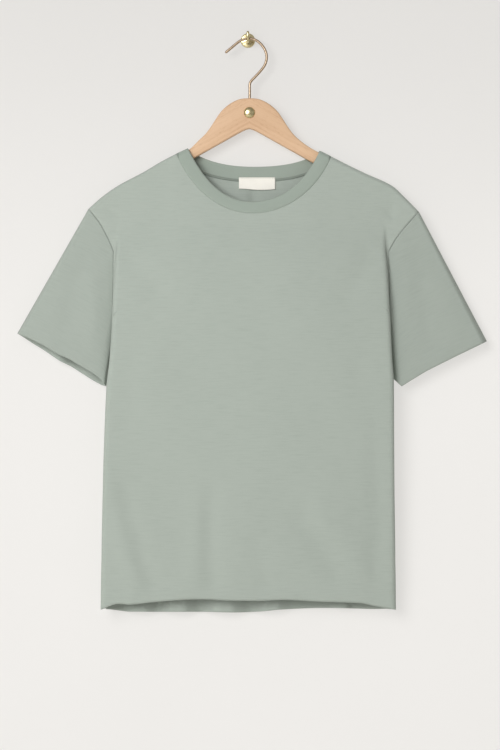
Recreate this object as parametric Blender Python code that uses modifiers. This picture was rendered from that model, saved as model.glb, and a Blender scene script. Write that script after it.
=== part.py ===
"""A short-sleeved crew-neck t-shirt, hung flat on a wooden hanger from a small wall hook.

The scene is in metres with +Z up; the tables below are in millimetres and are scaled by MM.
The origin is the centre of the wall hook's back face, the wall is the plane y = 0, and the
front of the shirt faces -Y. Left means -X, the left of someone looking at the front.
"""
import itertools
import math

import bpy
import numpy as np

MM = 0.001

# Cloth
CLOTH = 1.2
SEAM_GAP = 0.3
RIDGE_Y = -18.0
RIDGE_GAP = 0.2
NECK_CORNER_GAP = 0.6
NECK_CORNER_SHARE = 0.25
SHOULDER_DROP = 5.0
SLEEVE_FRONT_Y = -28.0
SIDE_SEAM_Y = -18.0

# Roll of the body's side edge, over the sleeve and down to the hem
ROLL_OUT = 6.0
ROLL_IN = 3.0
ROLL_LEAN = math.radians(114.0)
BACK_ROLL = 8.0
UNDERARM_ROUND = 25.0
SEAM_PAST_ROLL = 1.0
UNDERARM_Z = -412.0
UNDERARM_ROW_GAP = 2.4
NO_STEP = 0.05
SMALLEST_SINE = 0.2

LEFT, RIGHT = 0, 1
SIGN = (-1.0, 1.0)

# Body sections, from the level where the side roll begins to the hem
BODY_COLUMNS = ("height", "left_edge", "right_edge", "step", "belly", "back")
BODY = (
    (-150.0, -184.0, 194.0, 0.0, 0.0, -9.0),
    (-205.0, -184.0, 194.0, 0.0, 3.0, -9.0),
    (-262.0, -184.6, 194.3, 0.0, 9.0, -8.5),
    (-280.0, -185.4, 194.6, 4.0, 10.5, -8.0),
    (-300.0, -186.4, 195.3, 9.0, 10.0, -8.0),
    (-330.0, -188.0, 197.3, 13.0, 8.0, -8.0),
    (-364.0, -190.2, 199.0, 16.0, 6.0, -8.0),
    (-409.0, -191.8, 201.3, 18.0, 4.0, -8.0),
    (-454.0, -194.7, 203.4, 18.5, 3.0, -7.5),
    (-494.0, -199.1, 205.8, 19.0, 2.0, -7.0),
    (-585.0, -202.9, 206.2, 19.0, 1.5, -6.5),
    (-703.0, -205.9, 207.6, 16.5, 1.0, -6.5),
    (-820.0, -208.3, 209.4, 11.0, 1.0, -7.0),
)

# Top line of shoulder and sleeve, from the neck to the sleeve's tip
RIDGE_COLUMNS = ("left_x", "left_z", "right_x", "right_z")
RIDGE = (
    (-60.0, -143.0, 60.0, -141.0),
    (-85.4, -156.6, 102.1, -160.0),
    (-101.3, -164.1, 117.9, -168.0),
    (-123.1, -175.5, 138.2, -178.4),
    (-147.9, -190.2, 166.7, -192.2),
    (-184.9, -210.0, 205.1, -210.2),
    (-207.7, -226.0, 222.2, -225.8),
    (-226.2, -242.4, 242.8, -246.7),
)

# Armhole seam of the front and the back at each height, from the ridge to the underarm
ARMHOLE_COLUMNS = ("below_ridge", "left_front", "right_front", "left_back", "right_back")
ARMHOLE = (
    (0.0, -226.2, 242.8, -226.2, 242.8),
    (19.0, -211.3, 226.0, -213.5, 229.0),
    (37.0, -201.1, 211.5, -204.5, 217.5),
    (54.0, -193.3, 201.5, -198.0, 209.5),
    (62.0, -190.5, 197.5, -195.5, 206.5),
    (100.0, -187.0, 196.0, -189.5, 199.5),
    (140.0, -187.0, 196.0, -187.2, 196.5),
    (175.0, -187.0, 196.0, -187.0, 196.0),
)

# Hem of the body: height of the front and the back edge across the shirt
HEM_COLUMNS = ("across", "front", "back")
HEM = (
    (-208.0, -810.5, -812.0),
    (-181.0, -801.8, -815.5),
    (-169.0, -803.0, -816.8),
    (-131.0, -799.2, -817.0),
    (-67.0, -795.4, -817.0),
    (-21.0, -797.3, -818.0),
    (18.0, -797.6, -816.6),
    (48.0, -796.3, -813.8),
    (108.0, -799.0, -811.5),
    (159.0, -800.8, -812.4),
    (179.0, -805.0, -813.0),
    (209.0, -810.5, -812.0),
)

# Soft waves of the back's lower edge
WAVE_COLUMNS = ("across", "y")
WAVES = (
    (-196.0, -7.0), (-183.0, -7.0), (-161.0, -19.0), (-149.0, -20.0), (-128.0, -8.0), (-107.0, -20.0),
    (-95.0, -20.0), (-68.0, -6.0), (-40.0, -21.0), (-26.0, -21.0), (3.0, -7.0), (28.0, -20.0), (40.0, -20.0),
    (62.0, -10.0), (88.0, -6.0), (114.0, -8.0), (130.0, -18.0), (139.0, -19.0), (148.0, -8.0),
    (167.0, -6.5), (196.0, -7.0),
)
WAVE_TOP = -640.0
WAVE_FOOT = -812.0
WAVE_POWER = 1.5
WAVE_LIFT = 0.11

# Neck edges as curves from the shoulder ridge to the middle of the front or back
NECK_COLUMNS = ("ridge_x", "ridge_z", "start_angle", "start_handle", "middle_x", "middle_z", "middle_handle")
NECK = {
    ("inner", "front", LEFT): (-85.4, -156.6, 63.0, 36.0, 6.7, -233.3, 50.0),
    ("inner", "front", RIGHT): (102.1, -160.0, 68.0, 32.0, 6.7, -233.3, 52.0),
    ("outer", "front", LEFT): (-101.3, -164.1, 68.0, 43.0, 6.7, -249.6, 55.0),
    ("outer", "front", RIGHT): (117.9, -168.0, 70.0, 40.0, 6.7, -249.6, 57.0),
    ("inner", "back", LEFT): (-85.4, -156.6, 36.0, 25.0, 8.3, -181.5, 45.0),
    ("inner", "back", RIGHT): (102.1, -160.0, 36.0, 25.0, 8.3, -181.5, 45.0),
    ("outer", "back", LEFT): (-101.3, -164.1, 50.0, 32.0, 8.3, -200.9, 50.0),
    ("outer", "back", RIGHT): (117.9, -168.0, 50.0, 32.0, 8.3, -200.9, 50.0),
}

# Sleeve hem from the outer tip to the inner corner
CUFF_COLUMNS = ("across", "front", "back")
CUFF = (
    (
        (-327.8, -419.9, -419.9), (-309.0, -427.2, -432.4), (-290.0, -437.0, -444.0),
        (-269.0, -449.5, -458.0), (-252.0, -457.0, -466.6), (-236.0, -466.8, -477.0),
        (-220.0, -476.0, -487.0), (-208.0, -485.0, -493.4), (-202.0, -494.5, -494.5),
    ),
    (
        (339.6, -430.9, -430.9), (320.0, -440.3, -438.0), (297.2, -451.3, -448.5),
        (274.0, -462.8, -459.5), (251.9, -474.0, -470.5), (233.0, -485.5, -481.0),
        (218.0, -495.0, -487.5), (208.0, -484.5, -484.5),
    ),
)
CUFF_FRONT_Y = -27.5
CUFF_BACK_Y = -8.5
CUFF_ROUND = 9.0
CUFF_INNER_ROUND = (7.0, 13.0)
SLEEVE_SWELL = 1.6
UNDERARM_SLACK = 3.6
UNDERARM_BOW = (6.0, 9.0)

# Places of the grid lines, from a seam inward, in millimetres or as a share of an edge
ARMHOLE_ROWS = (0.0, 1.2, 3.2, 6.5, 11.0, 18.0, 28.0, 40.0, 55.0, 72.0, 90.0, 108.0, 124.0, 138.0, 149.0,
                157.0, 163.0, 167.0)
BODY_ROWS = 12
FRONT_SIDE_COLUMNS = (0.0, 2.0, 4.5, 7.0, 12.0, 16.0, 19.0, 22.0, 25.0, 28.0, 31.5, 38.0, 55.0, 82.0, 115.0)
BACK_SIDE_COLUMNS = (0.0, 4.0, 8.0, 12.0, 16.0, 24.0, 40.0, 54.0, 68.0, 82.0, 98.0, 115.0)
FRONT_NECK_STATIONS = (0.0, 0.03, 0.08, 0.16, 0.27, 0.40, 0.55, 0.70, 0.85, 1.0)
BACK_NECK_STATIONS = (0.0, 0.02, 0.05, 0.13, 0.25, 0.42, 0.62, 0.82, 1.0)
SLEEVE_ROWS = (0.0, 0.04, 0.10, 0.20, 0.32, 0.46, 0.60, 0.74, 0.87, 1.0)
RIB_ROWS = (0.0, 0.33, 0.67, 1.0)
SIDE_REACH = 0.5
LABEL_SIZE = (51.8, 1.0, 17.2)
LABEL_PLACE = (13.1, -10.7, -205.4)
BOX_FACES = ((0, 1, 3, 2), (4, 6, 7, 5), (0, 4, 5, 1), (2, 3, 7, 6), (0, 2, 6, 4), (1, 5, 7, 3))

# Hanger: half outline of its head from the top's middle, then the arms follow the shoulders
HANGER_MIDDLE_X = 2.1
HANGER_THICK = 11.0
HANGER_EDGE = 2.5
HANGER_BELOW_CLOTH = 3.0
HANGER_APEX_Z = -126.4
HANGER_SLOPE = 0.56
HANGER_REACH = 201.0
HANGER_TIP_ROUND = 8.0
HANGER_TIP_ANGLES = (32.0, 0.0, -32.0)
HANGER_ARM_FROM = 88.0
HANGER_ARM_STOPS = 5
HANGER_ARM_DEEP = 21.0
HANGER_ARM_TAPER = 4.0
HANGER_UNDER_FROM = 14.0
HANGER_UNDER_STOPS = 8
HANGER_STRAIGHT = 100.0
HANGER_APEX_ROUND = ((-5.0, -3.4), (0.0, -2.0), (5.0, -3.4))
HANGER_HEAD = (
    (0.0, -85.2), (12.0, -86.0), (22.4, -89.9), (33.0, -97.0), (41.0, -105.0), (47.7, -114.6),
    (55.0, -126.0), (62.5, -136.0), (72.0, -145.0),
)
STUD_Z = -105.8
STUD_RADIUS = 7.9
STUD_HEIGHT = 3.6
STUD_ANGLES = (0.0, 20.0, 40.0, 60.0, 78.0, 90.0)
STUD_STEPS = 28
WIRE_RADIUS = 1.9
WIRE_ROUTE = (
    (2.4, -84.9), (2.6, -75.0), (2.6, -66.1), (4.2, -61.0), (10.2, -54.5), (17.3, -46.8), (23.3, -38.9),
    (26.2, -31.2), (26.6, -23.8), (24.6, -16.6), (20.2, -9.6), (14.2, -3.8), (7.6, -0.6), (0.6, 0.4),
    (-6.0, -0.9), (-12.4, -4.0), (-21.4, -11.2), (-32.2, -20.2),
)
ROSETTE_RADIUS = 10.3
ROSETTE_THICK = 4.0
ROSETTE_EDGE = 1.2
ROSETTE_STEPS = 32
PEG_RADIUS = 2.0
PEG_ROUTE = (
    (-4.3, -3.8), (-10.0, -3.8), (-17.2, -3.8), (-20.6, -3.0), (-23.0, -0.9), (-24.3, 2.2), (-24.7, 5.4),
    (-24.9, 8.4),
)


def smooth(knots, values, at):
    """Smooth curve through a table, flat at its turning points so that it never overshoots."""
    knots = np.asarray(knots, float)
    values = np.asarray(values, float)
    if knots[0] > knots[-1]:
        knots, values = knots[::-1], values[::-1]
    steps = np.diff(knots)
    rates = np.diff(values) / steps
    slopes = np.empty_like(values)
    slopes[0], slopes[-1] = rates[0], rates[-1]
    same = rates[:-1] * rates[1:] > 0.0
    safe = np.where(same, rates[:-1] + rates[1:], 1.0)
    slopes[1:-1] = np.where(same, 2.0 * rates[:-1] * rates[1:] / safe, 0.0)
    at = np.clip(at, knots[0], knots[-1])
    cell = np.clip(np.searchsorted(knots, at) - 1, 0, len(steps) - 1)
    t = (at - knots[cell]) / steps[cell]
    low = (1.0 + 2.0 * t) * (1.0 - t) ** 2 * values[cell] + t * (1.0 - t) ** 2 * steps[cell] * slopes[cell]
    high = t * t * (3.0 - 2.0 * t) * values[cell + 1] + t * t * (t - 1.0) * steps[cell] * slopes[cell + 1]
    return low + high


def read(table, columns, key, name, at):
    """Value of one named column of a table, smoothed between its rows."""
    rows = np.array(table)
    return smooth(rows[:, columns.index(key)], rows[:, columns.index(name)], at)


def body(name, z):
    return read(BODY, BODY_COLUMNS, "height", name, z)


def edge_x(side, z):
    return np.abs(body(("left_edge", "right_edge")[side], z))


def ridge_z(x):
    """Height of the shoulder's top line over a place across the shirt."""
    rows = np.array(RIDGE)
    line = np.concatenate((rows[::-1, :2], rows[:, 2:]))
    return smooth(line[:, 0], line[:, 1], x)


def round_off(depth, radius):
    """Quarter round: 0 at the edge, 1 from the radius inward."""
    share = np.clip(np.asarray(depth, float) / radius, 0.0, 1.0)
    return np.sqrt(1.0 - (1.0 - share) ** 2)


def ridge_share(x, z):
    return round_off(ridge_z(x) - z, SHOULDER_DROP)


def closing(z):
    """How far the armhole has closed toward the underarm: 0 above, 1 at the underarm and below."""
    return 1.0 - round_off(np.asarray(z, float) - UNDERARM_Z, UNDERARM_ROUND)


def front_plane_y(x, z, side):
    """Depth of the front's flat part."""
    step = body("step", z)
    across = np.clip(np.abs(x) / edge_x(side, z), 0.0, 1.0)
    full = SLEEVE_FRONT_Y - RIDGE_Y + RIDGE_GAP - step - body("belly", z) * (1.0 - across ** 2)
    return RIDGE_Y - RIDGE_GAP + full * ridge_share(x, z)


def roll(side, z):
    """Sizes of the side roll at a height: start, first bend, wall and second bend."""
    flat = front_plane_y(SIGN[side] * edge_x(side, z), z, side)
    target = SLEEVE_FRONT_Y + (SIDE_SEAM_Y - SLEEVE_FRONT_Y) * closing(z)
    depth = np.maximum(target - flat, 0.0)
    depth = np.where(body("step", z) < NO_STEP, 0.0, depth)
    reach = (ROLL_OUT + ROLL_IN) * (1.0 - math.cos(ROLL_LEAN))
    shallow = np.arccos(np.clip(1.0 - depth / (ROLL_OUT + ROLL_IN), -1.0, 1.0))
    first = np.where(depth < reach, shallow, ROLL_LEAN)
    second = first * (1.0 - closing(z))
    bends = ROLL_OUT * (1.0 - np.cos(first)) + ROLL_IN * (np.cos(first - second) - np.cos(first))
    wall = np.maximum(depth - bends, 0.0) / np.maximum(np.sin(first), SMALLEST_SINE)
    start = edge_x(side, z) - ROLL_OUT * np.sin(np.minimum(first, math.pi / 2.0))
    return start, first, wall, second


def roll_point(sizes, past):
    """Outward and backward distance of a point lying past the start of a side roll."""
    _, first, wall, second = sizes
    one = np.clip(past / ROLL_OUT, 0.0, first)
    out = ROLL_OUT * np.sin(one)
    back = ROLL_OUT * (1.0 - np.cos(one))
    straight = np.clip(past - ROLL_OUT * first, 0.0, wall)
    out = out + straight * np.cos(first)
    back = back + straight * np.sin(first)
    two = np.clip((past - ROLL_OUT * first - wall) / ROLL_IN, 0.0, second)
    out = out + ROLL_IN * (np.sin(first) - np.sin(first - two))
    back = back + ROLL_IN * (np.cos(first - two) - np.cos(first))
    rest = np.maximum(past - ROLL_OUT * first - wall - ROLL_IN * second, 0.0)
    return out + rest * np.cos(first - second), back + rest * np.sin(first - second)


def shoulder_tip(side):
    """Height where the armhole seam meets the shoulder's top line."""
    return RIDGE[-1][RIDGE_COLUMNS.index(("left_z", "right_z")[side])]


def armhole_x(side, face, z):
    """Place of the visible armhole seam across the shirt."""
    name = ("left", "right")[side] + "_" + face
    return np.abs(read(ARMHOLE, ARMHOLE_COLUMNS, "below_ridge", name, shoulder_tip(side) - z))


def front_seam(side, z):
    """Flat distance of the front's side edge from the middle line x = 0."""
    sizes = roll(side, z)
    start, first, wall, second = sizes
    turned = ROLL_OUT * first + wall + ROLL_IN * second
    out, _ = roll_point(sizes, turned)
    visible = armhole_x(side, "front", z) - start - out
    extra = np.maximum(visible, SEAM_PAST_ROLL) * (1.0 - closing(z))
    return start + turned + extra


def front_surface(side, flat, z):
    """Point of the front for a flat distance from the middle and a height."""
    sign = SIGN[side]
    sizes = roll(side, z)
    start = sizes[0]
    out, back = roll_point(sizes, np.maximum(flat - start, 0.0))
    x = sign * (np.minimum(flat, start) + out)
    y = front_plane_y(x, z, side) + back
    return np.stack((x, y, z), axis=-1)


def back_turn(side, z):
    """Flat end, bend and wall of the back's side edge."""
    shut = closing(z)
    angle = math.pi - ROLL_LEAN
    depth = (body("back", z) - SIDE_SEAM_Y) * shut
    bend = np.arccos(np.clip(1.0 - depth / BACK_ROLL, math.cos(angle), 1.0))
    wall = np.maximum(depth - BACK_ROLL * (1.0 - np.cos(bend)), 0.0) / math.sin(angle)
    sizes = roll(side, z)
    out, _ = roll_point(sizes, front_seam(side, z) - sizes[0])
    seam = sizes[0] + out
    seam = np.where(z > UNDERARM_Z, armhole_x(side, "back", z), seam)
    edge = seam - BACK_ROLL * np.sin(bend) - wall * np.cos(bend)
    return edge, bend, wall


def back_seam(side, z):
    edge, bend, wall = back_turn(side, z)
    return edge + BACK_ROLL * bend + wall


def back_surface(side, flat, z):
    """Point of the back for a flat distance from the middle and a height."""
    sign = SIGN[side]
    edge, bend, wall = back_turn(side, z)
    past = np.maximum(flat - edge, 0.0)
    turned = np.clip(past / BACK_ROLL, 0.0, bend)
    straight = np.maximum(past - BACK_ROLL * bend, 0.0)
    out = BACK_ROLL * np.sin(turned) + straight * np.cos(bend)
    forward = BACK_ROLL * (1.0 - np.cos(turned)) + straight * np.sin(bend)
    x = sign * (np.minimum(flat, edge) + out)
    fall = np.clip((WAVE_TOP - z) / (WAVE_TOP - WAVE_FOOT), 0.0, 1.0) ** WAVE_POWER
    plane = body("back", z) * (1.0 - fall) + read(WAVES, WAVE_COLUMNS, "across", "y", x) * fall
    y = RIDGE_Y + RIDGE_GAP + (plane - RIDGE_Y - RIDGE_GAP) * ridge_share(x, z)
    return np.stack((x, y - forward, z), axis=-1)


def neck_curve(end, face, side, stations):
    """Points (x, z) of a neck edge from the ridge to the middle."""
    row = dict(zip(NECK_COLUMNS, NECK[(end, face, side)]))
    angle = math.radians(row["start_angle"])
    sign = SIGN[side]
    across = row["ridge_x"] - sign * row["start_handle"] * math.cos(angle)
    corners = np.array((
        (row["ridge_x"], row["ridge_z"]),
        (across, row["ridge_z"] - row["start_handle"] * math.sin(angle)),
        (row["middle_x"] + sign * row["middle_handle"], row["middle_z"]),
        (row["middle_x"], row["middle_z"]),
    ))
    t = np.asarray(stations, float)[:, None]
    weights = ((1 - t) ** 3, 3 * t * (1 - t) ** 2, 3 * t * t * (1 - t), t ** 3)
    return sum(weight * corner for weight, corner in zip(weights, corners))


def moved_out(points, distance, side):
    """A neck edge moved down and outward by a distance at each point."""
    along = np.gradient(points, axis=0)
    along /= np.linalg.norm(along, axis=1)[:, None]
    normal = np.stack((along[:, 1], -along[:, 0]), axis=1) * -SIGN[side]
    normal *= np.where(normal[:, 1:] > 0.0, -1.0, 1.0)
    return points + normal * distance[:, None]


def panel_rows(side, face):
    """Heights of the grid rows along the side edge, gap at the shoulder included."""
    top = shoulder_tip(side)
    armhole = top - np.array(ARMHOLE_ROWS) * (top - UNDERARM_Z) / (ARMHOLE_ROWS[-1] + UNDERARM_ROW_GAP)
    rows = np.array(HEM)
    hem = rows[0 if side == LEFT else -1, HEM_COLUMNS.index(face)]
    lower = np.linspace(UNDERARM_Z, hem, BODY_ROWS)
    return np.concatenate((armhole, lower))


def half_panel(side, face):
    """Grid of flat (distance from x = 0, height) points for one half of the front or back."""
    columns, stations, seam = {
        "front": (FRONT_SIDE_COLUMNS, FRONT_NECK_STATIONS, front_seam),
        "back": (BACK_SIDE_COLUMNS, BACK_NECK_STATIONS, back_seam),
    }[face]
    sign = SIGN[side]
    heights = panel_rows(side, face)
    side_edge = np.stack((sign * (seam(side, heights) - SEAM_GAP / 2.0), heights), axis=1)
    side_edge[0, 1] = ridge_z(side_edge[0, 0])
    corner = 1.0 - np.clip(np.array(stations) / NECK_CORNER_SHARE, 0.0, 1.0)
    gap = SEAM_GAP + (NECK_CORNER_GAP - SEAM_GAP) * corner
    neck = moved_out(neck_curve("outer", face, side, stations), gap, side)
    neck[0, 1] = ridge_z(neck[0, 0])
    share = np.array(columns) / columns[-1]
    shoulder_x = side_edge[0, 0] + (neck[0, 0] - side_edge[0, 0]) * share
    shoulder = np.stack((shoulder_x, ridge_z(shoulder_x)), axis=1)
    top = np.concatenate((shoulder[:-1], neck))
    middle_x = neck[-1, 0]
    half = abs(side_edge[-1, 0] - middle_x)
    inward = np.concatenate((np.array(columns[:-1]), np.linspace(columns[-1], half, len(stations))))
    hem_x = side_edge[-1, 0] - sign * inward
    hem_z = read(HEM, HEM_COLUMNS, "across", face, hem_x)
    if face == "back":
        forward = body("back", WAVE_FOOT) - read(WAVES, WAVE_COLUMNS, "across", "y", hem_x)
        hem_z += WAVE_LIFT * forward
    bottom = np.stack((hem_x, hem_z), axis=1)
    share = ((heights - heights[0]) / (heights[-1] - heights[0]))[:, None, None]
    rails = (1.0 - share) * top[None] + share * bottom[None]
    reach = np.clip(inward / inward[-1] / SIDE_REACH, 0.0, 1.0)
    keep = 1.0 - reach * reach * (3.0 - 2.0 * reach)
    return rails + (side_edge[:, None] - rails[:, :1]) * keep[None, :, None]


def panel(face):
    """Whole front or back as a grid of points, left edge to right edge."""
    surface = {"front": front_surface, "back": back_surface}[face]
    halves = []
    for side in (LEFT, RIGHT):
        flat = half_panel(side, face)
        x, z = flat[..., 0], flat[..., 1]
        own = surface(side, np.abs(x), z)
        wrong = x * SIGN[side] < 0.0
        other = surface(1 - side, np.abs(x), z)
        halves.append(np.where(wrong[..., None], other, own))
    return np.concatenate((halves[LEFT], halves[RIGHT][:, -2::-1]), axis=1)


def armhole_loop(side, face):
    """Points of the sleeve's edge along the front or back armhole, from the ridge to the underarm."""
    heights = panel_rows(side, face)[:len(ARMHOLE_ROWS) + 1]
    surface, seam = {"front": (front_surface, front_seam), "back": (back_surface, back_seam)}[face]
    points = surface(side, seam(side, heights) + SEAM_GAP / 2.0, heights)
    points[0, 1] = RIDGE_Y
    points[0, 2] = ridge_z(points[0, 0])
    points[:, 0] += SIGN[side] * UNDERARM_SLACK * closing(heights)
    points[-1, 1] = SIDE_SEAM_Y
    return points


def cuff_loop(side, face, shares):
    """Points of the sleeve's hem from the outer tip to the inner corner."""
    rows = np.array(CUFF[side])
    line = rows[:, (0, CUFF_COLUMNS.index(face))]
    lengths = np.concatenate(((0.0,), np.cumsum(np.linalg.norm(np.diff(line, axis=0), axis=1))))
    along = shares * lengths[-1]
    x = np.interp(along, lengths, line[:, 0])
    z = np.interp(along, lengths, line[:, 1])
    flat = {"front": CUFF_FRONT_Y, "back": CUFF_BACK_Y}[face]
    rounding = round_off(along, CUFF_ROUND) * round_off(lengths[-1] - along, CUFF_INNER_ROUND[side])
    return np.stack((x, RIDGE_Y + (flat - RIDGE_Y) * rounding, z), axis=1)


def sleeve(side):
    """Closed tube of points: a row around the arm for each place along the sleeve."""
    rings = []
    swells = []
    for face, toward in (("front", -1.0), ("back", 1.0)):
        start = armhole_loop(side, face)
        steps = np.linalg.norm(np.diff(start, axis=0), axis=1)
        shares = np.concatenate(((0.0,), np.cumsum(steps))) / steps.sum()
        end = cuff_loop(side, face, shares)
        swells.append(toward * SLEEVE_SWELL * np.sin(math.pi * shares))
        rings.append((start, end))
    start = np.concatenate((rings[0][0], rings[1][0][-2:0:-1]))
    end = np.concatenate((rings[0][1], rings[1][1][-2:0:-1]))
    swell = np.concatenate((swells[0], swells[1][-2:0:-1]))
    t = np.array(SLEEVE_ROWS)[:, None, None]
    grid = start[None] * (1.0 - t) + end[None] * t
    arch = np.sin(math.pi * t[..., 0])
    grid[..., 1] += swell[None] * arch
    grid[..., 0] += SIGN[side] * UNDERARM_BOW[side] * closing(start[:, 2])[None] * arch
    return grid


def neck_rib():
    """Closed band of points from the neck's inner edge to the neck seam."""
    order = (("front", LEFT, FRONT_NECK_STATIONS), ("front", RIGHT, FRONT_NECK_STATIONS[::-1]),
             ("back", RIGHT, BACK_NECK_STATIONS), ("back", LEFT, BACK_NECK_STATIONS[::-1]))
    share = np.array(RIB_ROWS)[:, None, None]
    pieces = []
    for face, side, stations in order:
        inner = neck_curve("inner", face, side, stations)
        outer = neck_curve("outer", face, side, stations)
        flat = inner[None] * (1.0 - share) + outer[None] * share
        x, z = flat[..., 0], flat[..., 1]
        on_ridge = np.array(stations) == 0.0
        z = np.where(on_ridge[None], ridge_z(x), z)
        y = front_plane_y(x, z, side)
        if face == "back":
            y = RIDGE_Y + (body("back", z) - RIDGE_Y) * ridge_share(x, z)
        y = np.where(on_ridge[None], RIDGE_Y, y)
        pieces.append(np.stack((x, y, z), axis=-1)[:, :-1])
    return np.concatenate(pieces, axis=1)


def arm_top(x):
    return ridge_z(x) - HANGER_BELOW_CLOTH


def hanger_outline():
    """Outline (x, z) of the wooden hanger, clockwise from the left tip."""
    upper, lower = [], []
    for side in (LEFT, RIGHT):
        sign = SIGN[side]
        top = [(HANGER_MIDDLE_X + sign * out, z) for out, z in HANGER_HEAD]
        reach = HANGER_REACH - HANGER_TIP_ROUND
        for out in np.linspace(HANGER_ARM_FROM, reach, HANGER_ARM_STOPS):
            x = HANGER_MIDDLE_X + sign * out
            top.append((x, float(arm_top(x))))
        x, z = top[-1]
        under = []
        for out in np.linspace(reach, HANGER_UNDER_FROM, HANGER_UNDER_STOPS):
            place = HANGER_MIDDLE_X + sign * out
            line = HANGER_APEX_Z - HANGER_SLOPE * out
            deep = float(arm_top(place)) - (HANGER_ARM_DEEP - HANGER_ARM_TAPER * out / HANGER_REACH)
            under.append((place, max(line, deep) if out > HANGER_STRAIGHT else line))
        low = under[0][1]
        middle, radius = (z + low) / 2.0, (z - low) / 2.0
        for angle in np.radians(HANGER_TIP_ANGLES):
            top.append((x + sign * HANGER_TIP_ROUND * math.cos(angle), middle + radius * math.sin(angle)))
        upper.append(top)
        lower.append(under)
    apex = [(HANGER_MIDDLE_X + out, HANGER_APEX_Z + up) for out, up in HANGER_APEX_ROUND]
    return upper[LEFT][::-1] + upper[RIGHT][1:] + lower[RIGHT] + apex[::-1] + lower[LEFT][::-1]


def clear_scene():
    for item in list(bpy.data.objects):
        bpy.data.objects.remove(item)


def new_collection(name):
    collection = bpy.data.collections.new(name)
    bpy.context.scene.collection.children.link(collection)
    return collection


def material(name, colour, roughness, metallic=0.0):
    """Plain Principled material with a linear colour."""
    made = bpy.data.materials.new(name)
    made.use_nodes = True
    shader = made.node_tree.nodes["Principled BSDF"]
    shader.inputs["Base Color"].default_value = (*colour, 1.0)
    shader.inputs["Roughness"].default_value = roughness
    shader.inputs["Metallic"].default_value = metallic
    made.diffuse_color = (*colour, 1.0)
    return made


def add(collection, name, data, look):
    made = bpy.data.objects.new(name, data)
    data.materials.append(look)
    collection.objects.link(made)
    return made


def cloth_object(collection, name, grid, look, ring=False):
    """A grid of points as one wall of cloth; a ring joins its last column to its first."""
    rows, columns = grid.shape[:2]
    faces = []
    for row in range(rows - 1):
        for column in range(columns if ring else columns - 1):
            after = (column + 1) % columns
            faces.append((row * columns + column, row * columns + after,
                          (row + 1) * columns + after, (row + 1) * columns + column))
    mesh = bpy.data.meshes.new(name)
    mesh.from_pydata([tuple(point * MM) for point in grid.reshape(-1, 3)], [], faces)
    made = add(collection, name, mesh, look)
    wall = made.modifiers.new("wall", "SOLIDIFY")
    wall.thickness = CLOTH * MM
    wall.offset = 0.0
    wall.use_quality_normals = True
    return made


def turned_object(collection, name, profile, look, steps):
    """A profile (radius, height) turned about Z, pointing out from the wall."""
    mesh = bpy.data.meshes.new(name)
    points = [(radius * MM, 0.0, height * MM) for radius, height in profile]
    mesh.from_pydata(points, [(index, index + 1) for index in range(len(points) - 1)], [])
    made = add(collection, name, mesh, look)
    made.rotation_euler = (math.radians(90.0), 0.0, 0.0)
    turn = made.modifiers.new("turn", "SCREW")
    turn.axis = "Z"
    turn.steps = steps
    turn.render_steps = steps
    turn.use_merge_vertices = True
    turn.merge_threshold = 0.0001
    return made


def wire_object(collection, name, points, radius, look):
    """A round wire through the given points."""
    data = bpy.data.curves.new(name, "CURVE")
    data.dimensions = "3D"
    data.bevel_depth = radius * MM
    data.bevel_resolution = 3
    data.use_fill_caps = True
    spline = data.splines.new("POLY")
    spline.points.add(len(points) - 1)
    for target, point in zip(spline.points, points):
        target.co = (point[0] * MM, point[1] * MM, point[2] * MM, 1.0)
    return add(collection, name, data, look)


def rounded_route(points, between):
    """More points along a smooth curve through a route."""
    route = np.array(points, float)
    ends = np.concatenate((2.0 * route[:1] - route[1:2], route, 2.0 * route[-1:] - route[-2:-1]))
    made = [route[0]]
    for index in range(len(route) - 1):
        a, b, c, d = ends[index:index + 4]
        for step in range(1, between + 1):
            t = step / between
            made.append(0.5 * (2.0 * b + (c - a) * t + (2.0 * a - 5.0 * b + 4.0 * c - d) * t * t
                               + (3.0 * b - a - 3.0 * c + d) * t ** 3))
    return made


def build_cloth(collection, looks):
    for face in ("front", "back"):
        cloth_object(collection, face, panel(face), looks["jersey"])
    cloth_object(collection, "sleeve_left", sleeve(LEFT), looks["jersey"], ring=True)
    cloth_object(collection, "sleeve_right", sleeve(RIGHT), looks["jersey"], ring=True)
    cloth_object(collection, "neck_rib", neck_rib(), looks["rib"], ring=True)


def build_label(collection, looks):
    place, half = np.array(LABEL_PLACE), np.array(LABEL_SIZE) / 2.0
    corners = [tuple((place + half * signs) * MM) for signs in itertools.product(SIGN, repeat=3)]
    mesh = bpy.data.meshes.new("neck_label")
    mesh.from_pydata(corners, [], BOX_FACES)
    add(collection, "neck_label", mesh, looks["label"])


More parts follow.
